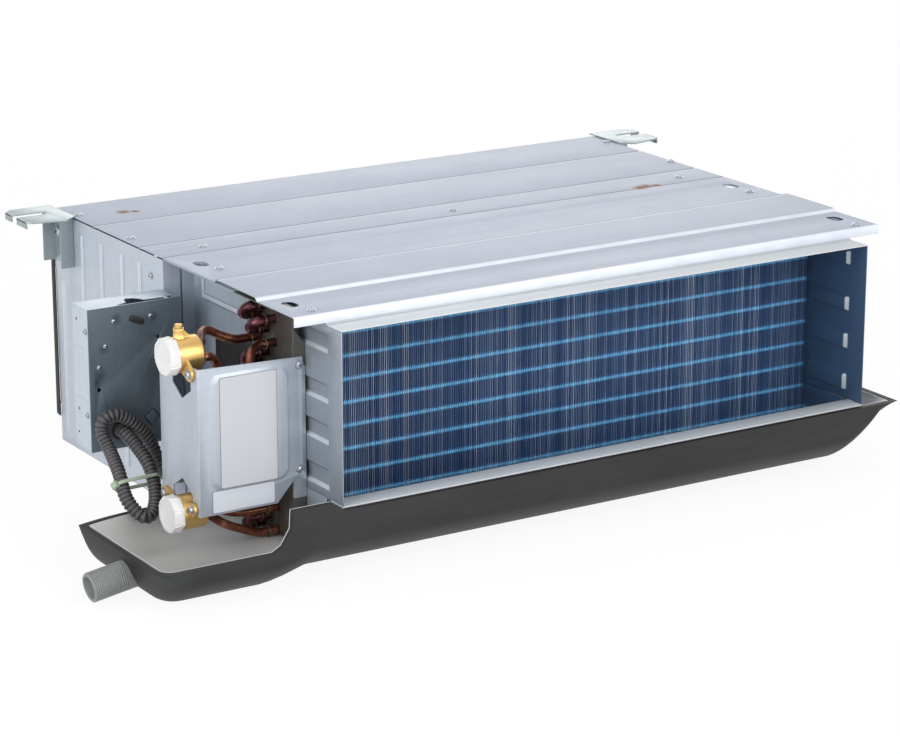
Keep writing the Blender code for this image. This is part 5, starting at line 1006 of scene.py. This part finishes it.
def makeBrazeRings():
    # A bead of braze where every bend and feeder enters its joint
    tree, source, target = newTree("brazeRings", [("Ring Radius", "Float"), ("Wire Radius", "Float"), ("Finish", "Material")])
    ring = nodeStep(tree, "GeometryNodeCurvePrimitiveCircle", {"Resolution": 18, "Radius": source.outputs["Ring Radius"]})
    wire = nodeStep(tree, "GeometryNodeCurvePrimitiveCircle", {"Resolution": 6, "Radius": source.outputs["Wire Radius"]})
    bead = nodeStep(tree, "GeometryNodeCurveToMesh", {"Curve": ring.outputs[0], "Profile Curve": wire.outputs[0]})
    placed = nodeStep(tree, "GeometryNodeInstanceOnPoints", {"Points": source.outputs["Geometry"], "Instance": bead.outputs[0],
                                                             "Rotation": (0.0, pi / 2, 0.0)})
    finishTree(tree, placed.outputs[0], target, source.outputs["Finish"])
    bm = bmesh.new()
    for row in range(coil["rows"]):
        for number in range(coil["tubesHigh"]):
            bm.verts.new(at(braze["across"], *tubeCentre(row, number)))
    for back, down in ((76, 33), (64, 42), (70, 190), (76, 178)):
        bm.verts.new(at(braze["headerAcross"], back, down))
    rings = linkMesh("braze_rings", bm)
    runTree(rings, tree, {"Ring Radius": braze["ring"] * mm, "Wire Radius": braze["wire"] * mm, "Finish": finishes["brazeMetal"]})
    settlePlain(rings, "casing", "copper", angle=60)


makeBrazeRings()


print("control box")
box = {
    "coverBack": 215.7, "screwSeat": 215.2, "topDown": 29, "leftAcross": -95, "wall": 1.0,
    "holes": [(-24.4, 63.6, 1.7), (-85.6, 106.0, 1.9)],
    "knockOut": {"centre": (-31.9, 139.9), "half": 6.4, "gap": 1.1, "bridge": 2.0, "turn": 38},
    "topSlots": [[(-66, 217.1), (-14, 217.1), (-14, 223.5), (-33, 224.5), (-36, 231.0), (-40, 235.0), (-46, 236.5),
                  (-50, 232.0), (-52, 224.0), (-60, 220.5)], [(-11, 217.1), (-3.5, 217.1), (-3.5, 225.5), (-11, 225.5)]],
    "plug": {"centre": (-46.2, 44.4), "half": 4.6, "radius": 2.9, "turn": 24, "rise": 3.2},
    "sideHoles": [(240.0, 42.2, 1.6), (240.5, 127.9, 1.6)], "sideSlot": (241.5, 150.7, 1.6, 0.8),
    "panel": {"back": (226.5, 245.5), "down": (67.0, 116.0), "groove": 0.9, "depth": 0.5},
}


def coverCutters():
    cutters = []
    near = at(0, box["coverBack"] - 3, 0).y
    far = at(0, box["coverBack"] + 0.9, 0).y
    for across, down, radius in box["holes"]:
        centre = at(across, 0, down)
        cutters.append(bmesh.new())
        turnedInto(cutters[-1], [(near, 0), (near, radius * mm), (far, radius * mm), (far, 0)], "Y",
                   (centre.x, centre.z), 20)
    k = box["knockOut"]
    middle = at(k["centre"][0], 0, k["centre"][1])
    turn = radians(k["turn"])
    half, gap, bridge = k["half"], k["gap"], k["bridge"] / 2
    for quarter in range(4):
        spin = turn + quarter * pi / 2
        slit = [(bridge - half, -half), (half - bridge, -half), (half - bridge, gap - half), (bridge - half, gap - half)]
        cutters.append(bmesh.new())
        prismInto(cutters[-1], [(middle.x + (a * cos(spin) - b * sin(spin)) * mm,
                                 middle.z + (a * sin(spin) + b * cos(spin)) * mm) for a, b in slit], "Y", near, far)
    return cutters


def boxCutter():
    bm = bmesh.new()
    top = at(0, 0, box["topDown"])
    for outline in box["topSlots"]:
        slot = [at(across, back, 0) for across, back in outline]
        prismInto(bm, [(point.x, point.y) for point in slot], "Z", top.z - 2.2 * mm, top.z + 2 * mm)
    left = acrossAt(box["leftAcross"])
    for back, down, radius in box["sideHoles"]:
        turnedInto(bm, [(left - mm, 0), (left - mm, radius * mm), (left + 2 * mm, radius * mm), (left + 2 * mm, 0)], "X",
                   sidePoint(back, down), 16)
    back, down, halfLong, halfHigh = box["sideSlot"]
    centre = sidePoint(back, down)
    boxInto(bm, (left - mm, centre[0] - halfLong * mm, centre[1] - halfHigh * mm),
            (left + 2 * mm, centre[0] + halfLong * mm, centre[1] + halfHigh * mm))
    panel = box["panel"]
    y0, y1 = (at(0, back, 0).y for back in panel["back"])
    z1, z0 = (at(0, 0, down).z for down in panel["down"])
    g = panel["groove"] * mm
    deep = left + panel["depth"] * mm
    for low, high in (((y0, z0), (y1, z0 + g)), ((y0, z1 - g), (y1, z1)), ((y1 - g, z0 + 1.5 * g), (y1, z1 - 1.5 * g)),
                      ((y0, z0 + 1.5 * g), (y0 + g, z1 - 1.5 * g))):
        boxInto(bm, (left - mm, low[0], low[1]), (deep, high[0], high[1]))
    return bm


def makePlug():
    p = box["plug"]
    centre = at(p["centre"][0], box["screwSeat"], p["centre"][1])
    turn = radians(-p["turn"])
    outline = []
    for side in (1, -1):
        for i in range(13):
            angle = -pi / 2 + pi * i / 12
            a = side * (p["half"] + p["radius"] * cos(angle))
            b = side * p["radius"] * sin(angle)
            outline.append((centre.x + (a * cos(turn) - b * sin(turn)) * mm, centre.z + (a * sin(turn) + b * cos(turn)) * mm))
    bm = bmesh.new()
    prismInto(bm, outline, "Y", centre.y - p["rise"] * mm, centre.y - 0.02 * mm)
    plug = rounded(linkMesh("control_box_plug", bm), 0.9 * mm, 3, 40)
    settle(plug, "casing", "black_plastic", "plug", angle=40)


softCopy("control_box_cover", "control_box_cover_sheet", 0.3 * mm, "boxCover", "coated_steel", cutters=coverCutters())
softCopy("control_box", "control_box_sheet", 0.3 * mm, "sideSheet", "galvanised_steel", cutters=[boxCutter()])
makePlug()


print("label and sticker")
labels = {
    "plate": {"across": (-55, 1), "down": (55, 155.5), "back": 36.15, "thick": 0.35},
    "small": {"across": (-62.5, -1), "down": (158.5, 178), "back": 38.6, "thick": 0.25},
}


def makeLabel(name, finish, grow=0.0, shy=0.0):
    # A blank printed plate; a copy of it a little larger and lower, in a darker finish, is painted shade along the
    # plate's edge
    s = labels[name]
    high = at(s["across"][1] + grow, s["back"], s["down"][0] - grow)
    low = at(s["across"][0] - grow, s["back"] - s["thick"] + shy, s["down"][1] + grow)
    bm = bmesh.new()
    boxInto(bm, low, high)
    corners = [edge for edge in bm.edges if abs(edge.verts[0].co.y - edge.verts[1].co.y) > 0.1 * mm]
    bmesh.ops.bevel(bm, geom=corners, offset=1.2 * mm, segments=4, affect="EDGES", profile=0.5)
    obj = linkMesh("bracket_label_" + name + ("_surround" if grow else ""), bm)
    settle(obj, "casing", "white_plastic", finish, angle=30)


for name, finish in (("plate", "label"), ("small", "sticker")):
    makeLabel(name, finish)
    # a larger, darker copy behind each plate gives painted shade along its edge
    makeLabel(name, "labelEdge", 0.55, 0.15)


print("screws")
screws = {
    "head": {"washer": 4.4, "washerHeight": 0.7, "dome": 3.3, "height": 2.6, "sides": 24, "crossLong": 3.6, "crossWide": 0.75,
             "crossDeep": 1.5},
    "seed": 4,
    "coverTop": [(26, 186), (25, 14), (52, 269), (629, 179), (629, 10), (608, 272), (645, 337), (330, 269), (644, 454),
                 (8.7, 334.5), (7.6, 447)],
    "bracket": [(25.5, 55), (25.5, 152)], "wing": [(49.5, 51), (49.5, 175), (102, 174)],
    "boxFront": [(-69.5, 43.1), (-78.4, 65.3), (-85.2, 84.6), (-32.0, 42.9)], "boxEdge": [(220.5, 50.3), (221.5, 130.4)],
    "sides": [(275.2, 22.4)], "hanger": [(473, 20), (457, 38)], "hangerAcross": -2.0,
}


def makeScrewHead():
    h = screws["head"]
    shape = [(0, 0), (0, h["washer"]), (h["washerHeight"], h["washer"]), (h["washerHeight"] + 0.1, h["dome"])]
    shape += [(h["washerHeight"] + 0.9, h["dome"]), (h["height"] - 0.5, h["dome"] * 0.82), (h["height"] - 0.1, h["dome"] * 0.5),
              (h["height"], 0)]
    bm = bmesh.new()
    turnedInto(bm, [(z * mm, r * mm) for z, r in shape], "Z", (0, 0), h["sides"])
    head = linkMesh("screwHead", bm)
    low, high = (h["height"] - h["crossDeep"]) * mm, (h["height"] + 1) * mm
    for along, wide in ((h["crossLong"] / 2, h["crossWide"] / 2), (h["crossWide"] / 2, h["crossLong"] / 2)):
        bm = bmesh.new()
        boxInto(bm, (-along * mm, -wide * mm, low), (along * mm, wide * mm, high))
        shaped(head, "DIFFERENCE", bm)
    return head


def screwTree():
    tree, source, target = newTree("screwHeads", [("Head", "Object"), ("Size", "Float"), ("Seed", "Int"), ("Finish", "Material")])
    head = nodeStep(tree, "GeometryNodeObjectInfo", {"Object": source.outputs["Head"]})
    facing = nodeStep(tree, "GeometryNodeInputNamedAttribute", {"Name": "facing"}, data_type="FLOAT_VECTOR")
    size = nodeStep(tree, "GeometryNodeInputNamedAttribute", {"Name": "size"}, data_type="FLOAT")
    whole = nodeStep(tree, "ShaderNodeMath", {0: size.outputs[0], 1: source.outputs["Size"]}, operation="MULTIPLY")
    chance = nodeStep(tree, "FunctionNodeRandomValue", {"Max": 2 * pi, "Seed": source.outputs["Seed"]}, data_type="FLOAT")
    turn = nodeStep(tree, "ShaderNodeCombineXYZ", {"Z": chance.outputs[1]})
    stood = nodeStep(tree, "FunctionNodeAlignRotationToVector", {"Vector": facing.outputs[0]}, axis="Z")
    spun = nodeStep(tree, "FunctionNodeRotateRotation", {"Rotation": stood.outputs[0], "Rotate By": turn.outputs[0]},
                    rotation_space="LOCAL")
    placed = nodeStep(tree, "GeometryNodeInstanceOnPoints", {
        "Points": source.outputs["Geometry"], "Instance": head.outputs["Geometry"], "Rotation": spun.outputs[0],
        "Scale": whole.outputs[0]})
    finishTree(tree, placed.outputs[0], target, source.outputs["Finish"])
    return tree


def makeScrews():
    up, front, left, right = Vector((0, 0, 1)), Vector((0, -1, 0)), Vector((-1, 0, 0)), Vector((1, 0, 0))
    width = 2 * unit["halfWidth"]
    places = [(at(x, y, 0), up, 1.0) for x, y in screws["coverTop"]]
    places += [(at(x, 38.7, down), front, 0.95) for x, down in screws["bracket"]]
    places += [(at(brassware["lugFaces"][0], y, down), left, 1.05) for y, down in screws["wing"]]
    places += [(at(x, box["screwSeat"], down), front, 0.6) for x, down in screws["boxFront"]]
    places += [(at(box["leftAcross"], y, down), left, 0.75) for y, down in screws["boxEdge"]]
    places += [(at(0, y, down), left, 0.9) for y, down in screws["sides"]]
    places += [(at(width, y, down), right, 0.9) for y, down in screws["sides"]]
    places += [(at(screws["hangerAcross"], y, down), left, 1.55) for y, down in screws["hanger"]]
    places += [(at(width - screws["hangerAcross"], y, down), right, 1.55) for y, down in screws["hanger"]]
    bm = bmesh.new()
    for place, facing, size in places:
        bm.verts.new(place)
    heads = linkMesh("screw_heads", bm)
    for label, kind in (("facing", "FLOAT_VECTOR"), ("size", "FLOAT")):
        heads.data.attributes.new(label, kind, "POINT")
    for i, (place, facing, size) in enumerate(places):
        heads.data.attributes["facing"].data[i].vector = facing
        heads.data.attributes["size"].data[i].value = size
    head = makeScrewHead()
    runTree(heads, screwTree(), {"Head": head, "Size": 1.0, "Seed": screws["seed"], "Finish": finishes["screwZinc"]})
    bpy.data.objects.remove(head)
    bolts = ["hanger_bolt_" + side + "_" + level for side in ("left", "right") for level in ("upper", "lower")]
    settlePlain(heads, "casing", "bright_steel", *bolts, angle=35)


makeScrews()


print("motor conduit and its tie")
conduit = {
    "knots": [(-70, 205.6, 144.5), (-70, 198.6, 144.5), (-69.5, 190, 147), (-67, 180, 153), (-65, 158, 167), (-70, 137, 187),
              (-81, 123, 199), (-92, 122, 199), (-99, 137, 186), (-95, 160, 168), (-91.5, 185, 154), (-93, 196, 141),
              (-90, 198, 130), (-78, 197, 126), (-63.5, 197, 134), (-49.5, 198, 149), (-41, 198, 164), (-36, 197, 181),
              (-27, 198, 193), (-12, 199, 197), (5, 200, 196.5), (20.4, 200, 196), (27.4, 200, 196)],
    "radius": 6.5, "ribDepth": 1.15, "pitch": 4.1, "sides": 22,
}
tie = {"centres": [(-67.2, 148.5, 176.0), (-97.2, 148.5, 177.0)], "lean": (0.05, -0.74, -0.67), "gap": 7.1, "width": 3.4,
       "thick": 1.2, "head": (6.6, 6.6, 5.2), "headTurn": 3.55}


def makeConduit():
    tree, source, target = newTree("corrugatedSleeve", [("Radius", "Float"), ("Rib Depth", "Float"), ("Rib Pitch", "Float"),
                                                        ("Step", "Float"), ("Sides", "Int"), ("Finish", "Material")])
    line = nodeStep(tree, "GeometryNodeMeshToCurve", {"Mesh": source.outputs["Geometry"]})
    even = nodeStep(tree, "GeometryNodeResampleCurve", {"Curve": line.outputs[0], "Length": source.outputs["Step"]}, mode="LENGTH")
    travel = nodeStep(tree, "GeometryNodeSplineParameter", {})
    turns = nodeStep(tree, "ShaderNodeMath", {0: travel.outputs["Length"], 1: source.outputs["Rib Pitch"]}, operation="DIVIDE")
    angle = nodeStep(tree, "ShaderNodeMath", {0: turns.outputs[0], 1: 2 * pi}, operation="MULTIPLY")
    wave = nodeStep(tree, "ShaderNodeMath", {0: angle.outputs[0]}, operation="SINE")
    height = nodeStep(tree, "ShaderNodeMapRange", {"Value": wave.outputs[0], "From Min": -0.75, "From Max": 0.75})
    cut = nodeStep(tree, "ShaderNodeMath", {0: height.outputs[0], 1: source.outputs["Rib Depth"]}, operation="MULTIPLY")
    core = nodeStep(tree, "ShaderNodeMath", {0: source.outputs["Radius"], 1: source.outputs["Rib Depth"]}, operation="SUBTRACT")
    radius = nodeStep(tree, "ShaderNodeMath", {0: core.outputs[0], 1: cut.outputs[0]}, operation="ADD")
    kept = nodeStep(tree, "GeometryNodeStoreNamedAttribute", {"Geometry": even.outputs[0], "Name": "ribHeight",
                                                              "Value": height.outputs[0]}, data_type="FLOAT", domain="POINT")
    sized = nodeStep(tree, "GeometryNodeSetCurveRadius", {"Curve": kept.outputs[0], "Radius": radius.outputs[0]})
    round_ = nodeStep(tree, "GeometryNodeCurvePrimitiveCircle", {"Resolution": source.outputs["Sides"], "Radius": 1.0})
    sleeve = nodeStep(tree, "GeometryNodeCurveToMesh", {"Curve": sized.outputs[0], "Profile Curve": round_.outputs[0],
                                                        "Fill Caps": True})
    if "Scale" in sleeve.inputs:
        tree.links.new(radius.outputs[0], sleeve.inputs["Scale"])
    finishTree(tree, sleeve.outputs[0], target, source.outputs["Finish"])
    route = smoothRoute([at(*point) for point in conduit["knots"]], 1.2 * mm)
    bm = bmesh.new()
    points = [bm.verts.new(point) for point in route]
    for first, second in zip(points, points[1:]):
        bm.edges.new((first, second))
    sleeve = linkMesh("motor_conduit_sleeve", bm)
    runTree(sleeve, tree, {"Radius": conduit["radius"] * mm, "Rib Depth": conduit["ribDepth"] * mm,
                           "Rib Pitch": conduit["pitch"] * mm, "Step": conduit["pitch"] / 6 * mm,
                           "Sides": conduit["sides"], "Finish": finishes["sleeve"]})
    settlePlain(sleeve, bodyOf["motor_conduit"], "black_plastic", "motor_conduit", angle=60)


def makeTie():
    first, second = (at(*centre) for centre in tie["centres"])
    along = (first - second).normalized()
    lean = Vector(tie["lean"])
    lean = (lean - along * lean.dot(along)).normalized()
    out = along.cross(lean)
    loop = []
    for centre, start in ((first, -pi / 2), (second, pi / 2)):
        for i in range(13):
            angle = start + pi * i / 12
            normal = along * cos(angle) + out * sin(angle)
            loop.append((centre + normal * tie["gap"] * mm, normal))
    bm = bmesh.new()
    half = lean * tie["width"] / 2 * mm
    rings = []
    for point, normal in loop:
        top = point + normal * tie["thick"] * mm
        rings.append([bm.verts.new(corner) for corner in (point - half, point + half, top + half, top - half)])
    faces = []
    for i, ring in enumerate(rings):
        after = rings[(i + 1) % len(rings)]
        faces += [bm.faces.new((ring[k], ring[(k + 1) % 4], after[(k + 1) % 4], after[k])) for k in range(4)]
    bmesh.ops.recalc_face_normals(bm, faces=faces)
    band = rounded(linkMesh("cable_tie_band", bm), 0.25 * mm, 2, 40)
    settle(band, "casing", "white_plastic", "tiePlastic", angle=40)
    turn = tie["headTurn"]
    normal = along * cos(turn) + out * sin(turn)
    middle = second + normal * (tie["gap"] + 2.0) * mm
    size = Vector(tie["head"]) * mm / 2
    bm = bmesh.new()
    boxInto(bm, -size, size)
    axes = Matrix((lean.cross(normal), lean, normal)).transposed().to_4x4()
    bmesh.ops.transform(bm, matrix=Matrix.Translation(middle) @ axes, verts=bm.verts)
    head = rounded(linkMesh("cable_tie_head", bm), 0.9 * mm, 3, 40)
    settle(head, "casing", "white_plastic", "tiePlastic", angle=40)


makeConduit()
makeTie()


print("drain pan")
pan = {
    "left": 151, "right": 6, "front": 32, "rear": 141, "bilgeDepth": 47, "bilgeHeight": 30, "rearBilge": 16, "fullness": 1.4,
    "deepFrom": 34, "bow": 36, "stern": 62, "ear": 163, "basinRim": 199, "troughRim": 171.5, "troughFloor": 231,
    "foam": 5.7, "gap": 0.3, "sheet": 1.2, "slack": 1.2, "frontCorner": 13, "rearBow": 12, "rearBowLength": 80, "bowSteps": 18, "sternSteps": 22, "bilgeSteps": 14, "rearSteps": 8,
}


def panStations(inset):
    # x, front rim, rear rim, floor at the front bilge and floor under the coil; heights are above the bottom
    slack = pan["slack"] if inset > pan["foam"] else 0.0
    left = inset + slack - pan["left"]
    right = 2 * unit["halfWidth"] + pan["right"] - inset - slack
    basin, trough, ear = (unit["height"] - pan[name] for name in ("basinRim", "troughRim", "ear"))
    deep = inset
    shallow = unit["height"] - pan["troughFloor"] + inset
    stations = []
    for i in range(pan["bowSteps"]):
        angle = pi / 2 * i / (pan["bowSteps"] - 1)
        floorHere = basin - (basin - deep) * sin(angle)
        stations.append((left + pan["bow"] * (1 - cos(angle)), basin, basin, floorHere, floorHere))
    stations += [(-100, basin, basin, deep, deep), (-80, basin, basin, deep, deep), (-40, basin, basin, deep, deep), (-31, basin + 5, basin, deep + 1, deep + 1),
                 (-22, basin + 19, basin, deep + 3, deep + 3), (-21, ear, basin, deep + 3, deep + 3),
                 (4, ear, basin, shallow, shallow), (19, ear, basin, shallow, shallow),
                 (31, trough, trough, shallow, shallow), (200, trough, trough, shallow, shallow),
                 (400, trough, trough, shallow, shallow), (560, trough, trough, shallow, shallow)]
    for i in range(pan["sternSteps"]):
        share = sin(pi / 2 * i / pan["sternSteps"])
        rise = (1 - share ** pan["fullness"]) ** (1 / pan["fullness"])
        stations.append((right - pan["stern"] * (1 - share), trough, trough, trough - (trough - shallow) * rise, shallow))
    return stations + [(right, trough, trough, trough, trough)]


def panSection(x, rim, rearRim, floorFront, floorDeep, inset):
    # The two corners at the left end are rounded in plan
    fromEnd = x + pan["left"] - inset
    front = inset - pan["front"]
    if fromEnd < pan["frontCorner"]:
        front += pan["frontCorner"] - (max(0.0, pan["frontCorner"] ** 2 - (pan["frontCorner"] - fromEnd) ** 2)) ** 0.5
    rear = pan["rear"] - inset - pan["rearBow"] * max(0.0, 1 - fromEnd / pan["rearBowLength"]) ** 2
    height = min(pan["bilgeHeight"], rim - floorFront)
    places = [(front, rim)]
    for i in range(pan["bilgeSteps"]):
        angle = pi / 2 * i / (pan["bilgeSteps"] - 1)
        places.append((front + pan["bilgeDepth"] * (1 - max(0.0, cos(angle)) ** pan["fullness"]),
                       floorFront + height * (1 - sin(angle) ** pan["fullness"])))
    places.append((pan["deepFrom"], floorDeep))
    height = min(pan["rearBilge"], rearRim - floorDeep)
    for i in range(pan["rearSteps"]):
        angle = pi / 2 * i / (pan["rearSteps"] - 1)
        places.append((rear - pan["rearBilge"] * (1 - sin(angle)), floorDeep + height * (1 - cos(angle))))
    places.append((rear + pan["gap"] / 10, rearRim))
    return [at(x, back, unit["height"] - level) for back, level in places]


def shellInto(bm, outer, inner):
    # A thin shell between two grids of the same size, closed along its rims
    grids = [[[bm.verts.new(point) for point in row] for row in grid] for grid in (outer, inner)]
    faces = []
    rows, columns = len(outer), len(outer[0])
    for grid in grids:
        for i in range(rows - 1):
            for j in range(columns - 1):
                faces.append(bm.faces.new((grid[i][j], grid[i + 1][j], grid[i + 1][j + 1], grid[i][j + 1])))
    border = [(i, 0) for i in range(rows)] + [(rows - 1, j) for j in range(1, columns)]
    border += [(i, columns - 1) for i in range(rows - 2, -1, -1)] + [(0, j) for j in range(columns - 2, 0, -1)]
    for (i, j), (m, n) in zip(border, border[1:] + border[:1]):
        faces.append(bm.faces.new((grids[0][i][j], grids[0][m][n], grids[1][m][n], grids[1][i][j])))
    bmesh.ops.remove_doubles(bm, verts=bm.verts, dist=0.000004)
    bmesh.ops.recalc_face_normals(bm, faces=bm.faces)


def panGrid(inset):
    return [panSection(*station, inset) for station in panStations(inset)]


nozzle = {"tip": -184, "root": -127, "radius": 13.5, "bore": 10, "back": 41, "down": 219.5, "threadEnd": -152.0, "pitch": 2.0,
          "depth": 0.9, "sides": 56, "lean": 9}


def makePan():
    for name, node, inset, thick, slotName, finish in (
            ("pan_foam", "pan_insulation", 0.0, pan["foam"], "black_foam", "foam"),
            ("drain_pan_tray", "drain_pan", pan["foam"] + pan["gap"], pan["sheet"], "pan_paint", "panPaint")):
        bm = bmesh.new()
        shellInto(bm, panGrid(inset), panGrid(inset + thick))
        shell = linkMesh(name, bm)
        bm = bmesh.new()
        hole = (nozzle["radius"] + pan["gap"]) * mm
        turnedInto(bm, [(acrossAt(-165), 0), (acrossAt(-165), hole), (acrossAt(-102), hole), (acrossAt(-102), 0)], "X",
                   sidePoint(nozzle["back"], nozzle["down"]), 40)
        shaped(shell, "DIFFERENCE", bm)
        settle(shell, bodyOf[node], slotName, finish, node, angle=38)


def makeNozzle():
    n = nozzle
    centre = sidePoint(n["back"], n["down"])
    steps = int((n["threadEnd"] - n["tip"]) / n["pitch"] * 6)
    thread = [(n["tip"] + 0.6 + (n["threadEnd"] - n["tip"]) * i / steps, n["radius"]) for i in range(steps + 1)]
    profile = [(n["tip"] + 0.8, n["bore"]), (n["tip"], n["bore"] + 0.6), (n["tip"], n["radius"] - 1.1)] + thread
    profile += [(n["root"], n["radius"]), (n["root"], n["bore"])]
    bm = bmesh.new()
    turnedInto(bm, [(acrossAt(x), r * mm) for x, r in profile], "X", centre, n["sides"])
    for vert in bm.verts:
        across = vert.co.x / mm + unit["halfWidth"]
        y, z = vert.co.y - centre[0], vert.co.z - centre[1]
        if hypot(y, z) > (n["radius"] - 0.3) * mm and across < n["threadEnd"] + 0.3:
            phase = (across / n["pitch"] + atan2(z, y) / (2 * pi)) % 1.0
            inward = n["depth"] * (1 - min(1.0, 2.6 * abs(phase - 0.5)))
            shrink = 1 - inward / n["radius"]
            vert.co.y = centre[0] + y * shrink
            vert.co.z = centre[1] + z * shrink
    # the inner end follows the slope of the tray, and the spigot leans a little down to its tip
    for vert in bm.verts:
        across = vert.co.x / mm + unit["halfWidth"]
        if across > n["root"] - 1:
            level = min(1.0, max(0.0, (unit["height"] - pan["basinRim"] - vert.co.z / mm) / (unit["height"] - pan["basinRim"])))
            vert.co.x = acrossAt(pan["foam"] + 2.4 - pan["left"] + pan["bow"] * (1 - (1 - level ** 2) ** 0.5))
    pivot = Vector((acrossAt(-pan["left"]), centre[0], centre[1]))
    lean = Matrix.Translation(pivot) @ Matrix.Rotation(radians(-n["lean"]), 4, "Y") @ Matrix.Translation(-pivot)
    bmesh.ops.transform(bm, matrix=lean, verts=bm.verts)
    settle(linkMesh("drain_nozzle_spigot", bm), bodyOf["drain_nozzle"], "grey_plastic", "greyPlastic", "drain_nozzle", angle=40)


makePan()
makeNozzle()


print("hanger tips")
hangerTips = {"across": (-52.0, -50.5), "down": (-1.8, 5.2), "prongs": [(440, 463), (475, 490)]}


def makeHangerTips():
    # The fork ends are folded down
    t = hangerTips
    width = 2 * unit["halfWidth"]
    for side, spanX in (("left", t["across"]), ("right", (width - t["across"][1], width - t["across"][0]))):
        bm = bmesh.new()
        for back in t["prongs"]:
            boxInto(bm, at(spanX[0], back[0], t["down"][1]), at(spanX[1], back[1], t["down"][0]))
        tips = rounded(linkMesh("hanger_tips_" + side, bm), 0.5 * mm, 2, 40)
        settle(tips, "casing", "galvanised_steel", "hangerSheet", angle=40)


makeHangerTips()


print("collar aprons")
aprons = {"back": (6, 65.5), "down": (170.9, 192.5), "thick": 1.0, "wall": 33.0}


def makeAprons():
    # The collar's side walls run on down into the drain pan
    a = aprons
    width = 2 * unit["halfWidth"]
    # The right apron takes the painted shade and reflection finish of the right collar wall
    for side, low, finish in (("left", a["wall"], "collarSheet"), ("right", width - a["wall"] - a["thick"], "filmedWall")):
        bm = bmesh.new()
        boxInto(bm, at(low, a["back"][0], a["down"][1]), at(low + a["thick"], a["back"][1], a["down"][0]))
        apron = rounded(linkMesh("collar_apron_" + side, bm), 0.25 * mm, 2, 40)
        settle(apron, "casing", "galvanised_steel", finish, angle=40)


makeAprons()


print("foam seals")
seals = {
    "rear": {"back": (489.6, 497.4), "down": (40, 215), "stand": 1.1},
    "pad": {"outline": [(114, 56), (150, 62), (208, 71), (208, 180), (114, 180)], "across": (31.2, 32.9)},
}


def makeSeals():
    # A strip that closes the shut end of the filter's slot, and a dark sheet on the casing side behind the headers that
    # stands in for the shade there
    r = seals["rear"]
    bm = bmesh.new()
    boxInto(bm, at(-r["stand"], r["back"][0], r["down"][1]), at(0.0, r["back"][1], r["down"][0]))
    strip = rounded(linkMesh("rear_seal_left", bm), 0.35 * mm, 2, 40)
    settle(strip, "casing", "black_foam", "seal", angle=40)
    # The dark sheet behind the headers stands in for shade
    p = seals["pad"]
    bm = bmesh.new()
    prismInto(bm, [sidePoint(back, down) for back, down in p["outline"]], "X", acrossAt(p["across"][0]), acrossAt(p["across"][1]))
    pad = rounded(linkMesh("casing_side_pad", bm), 0.4 * mm, 2, 40)
    settle(pad, "casing", "black_foam", "seal", angle=40)


makeSeals()


print("filter")
netting = {"pitch": 3.6, "wire": 0.42, "across": (-311, 311), "heights": (36.5, 181.5), "plane": 123.2}


def makeNet():
    # Woven filter wires, one bar for every warp and weft
    tree, source, target = newTree("filterWires", [("Count", "Int"), ("First", "Vector"), ("Offset", "Vector"),
                                                   ("Bar", "Vector"), ("Finish", "Material")])
    line = nodeStep(tree, "GeometryNodeMeshLine", {"Count": source.outputs["Count"], "Start Location": source.outputs["First"],
                                                   "Offset": source.outputs["Offset"]})
    bar = nodeStep(tree, "GeometryNodeMeshCube", {"Size": source.outputs["Bar"]})
    placed = nodeStep(tree, "GeometryNodeInstanceOnPoints", {"Points": line.outputs[0], "Instance": bar.outputs[0]})
    finishTree(tree, placed.outputs[0], target, source.outputs["Finish"])
    x0, x1 = (value * mm for value in netting["across"])
    z0, z1 = (value * mm for value in netting["heights"])
    y = netting["plane"] * mm
    wire = netting["wire"] * mm
    step = netting["pitch"] * mm
    for name, count, first, offset, bar in (
            ("warp", int((x1 - x0) / step), (x0 + step, y, (z0 + z1) / 2), (step, 0, 0), (wire, wire, z1 - z0)),
            ("weft", int((z1 - z0) / step), ((x0 + x1) / 2, y - wire, z0 + step), (0, 0, step), (x1 - x0, wire, wire))):
        wires = linkMesh("filter_net_" + name, bmesh.new())
        runTree(wires, tree, {"Count": count - 1, "First": first, "Offset": offset, "Bar": bar, "Finish": finishes["filterNet"]})
        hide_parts("air_filter_net")
        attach(wires, bodyOf["air_filter_net"])


makeNet()
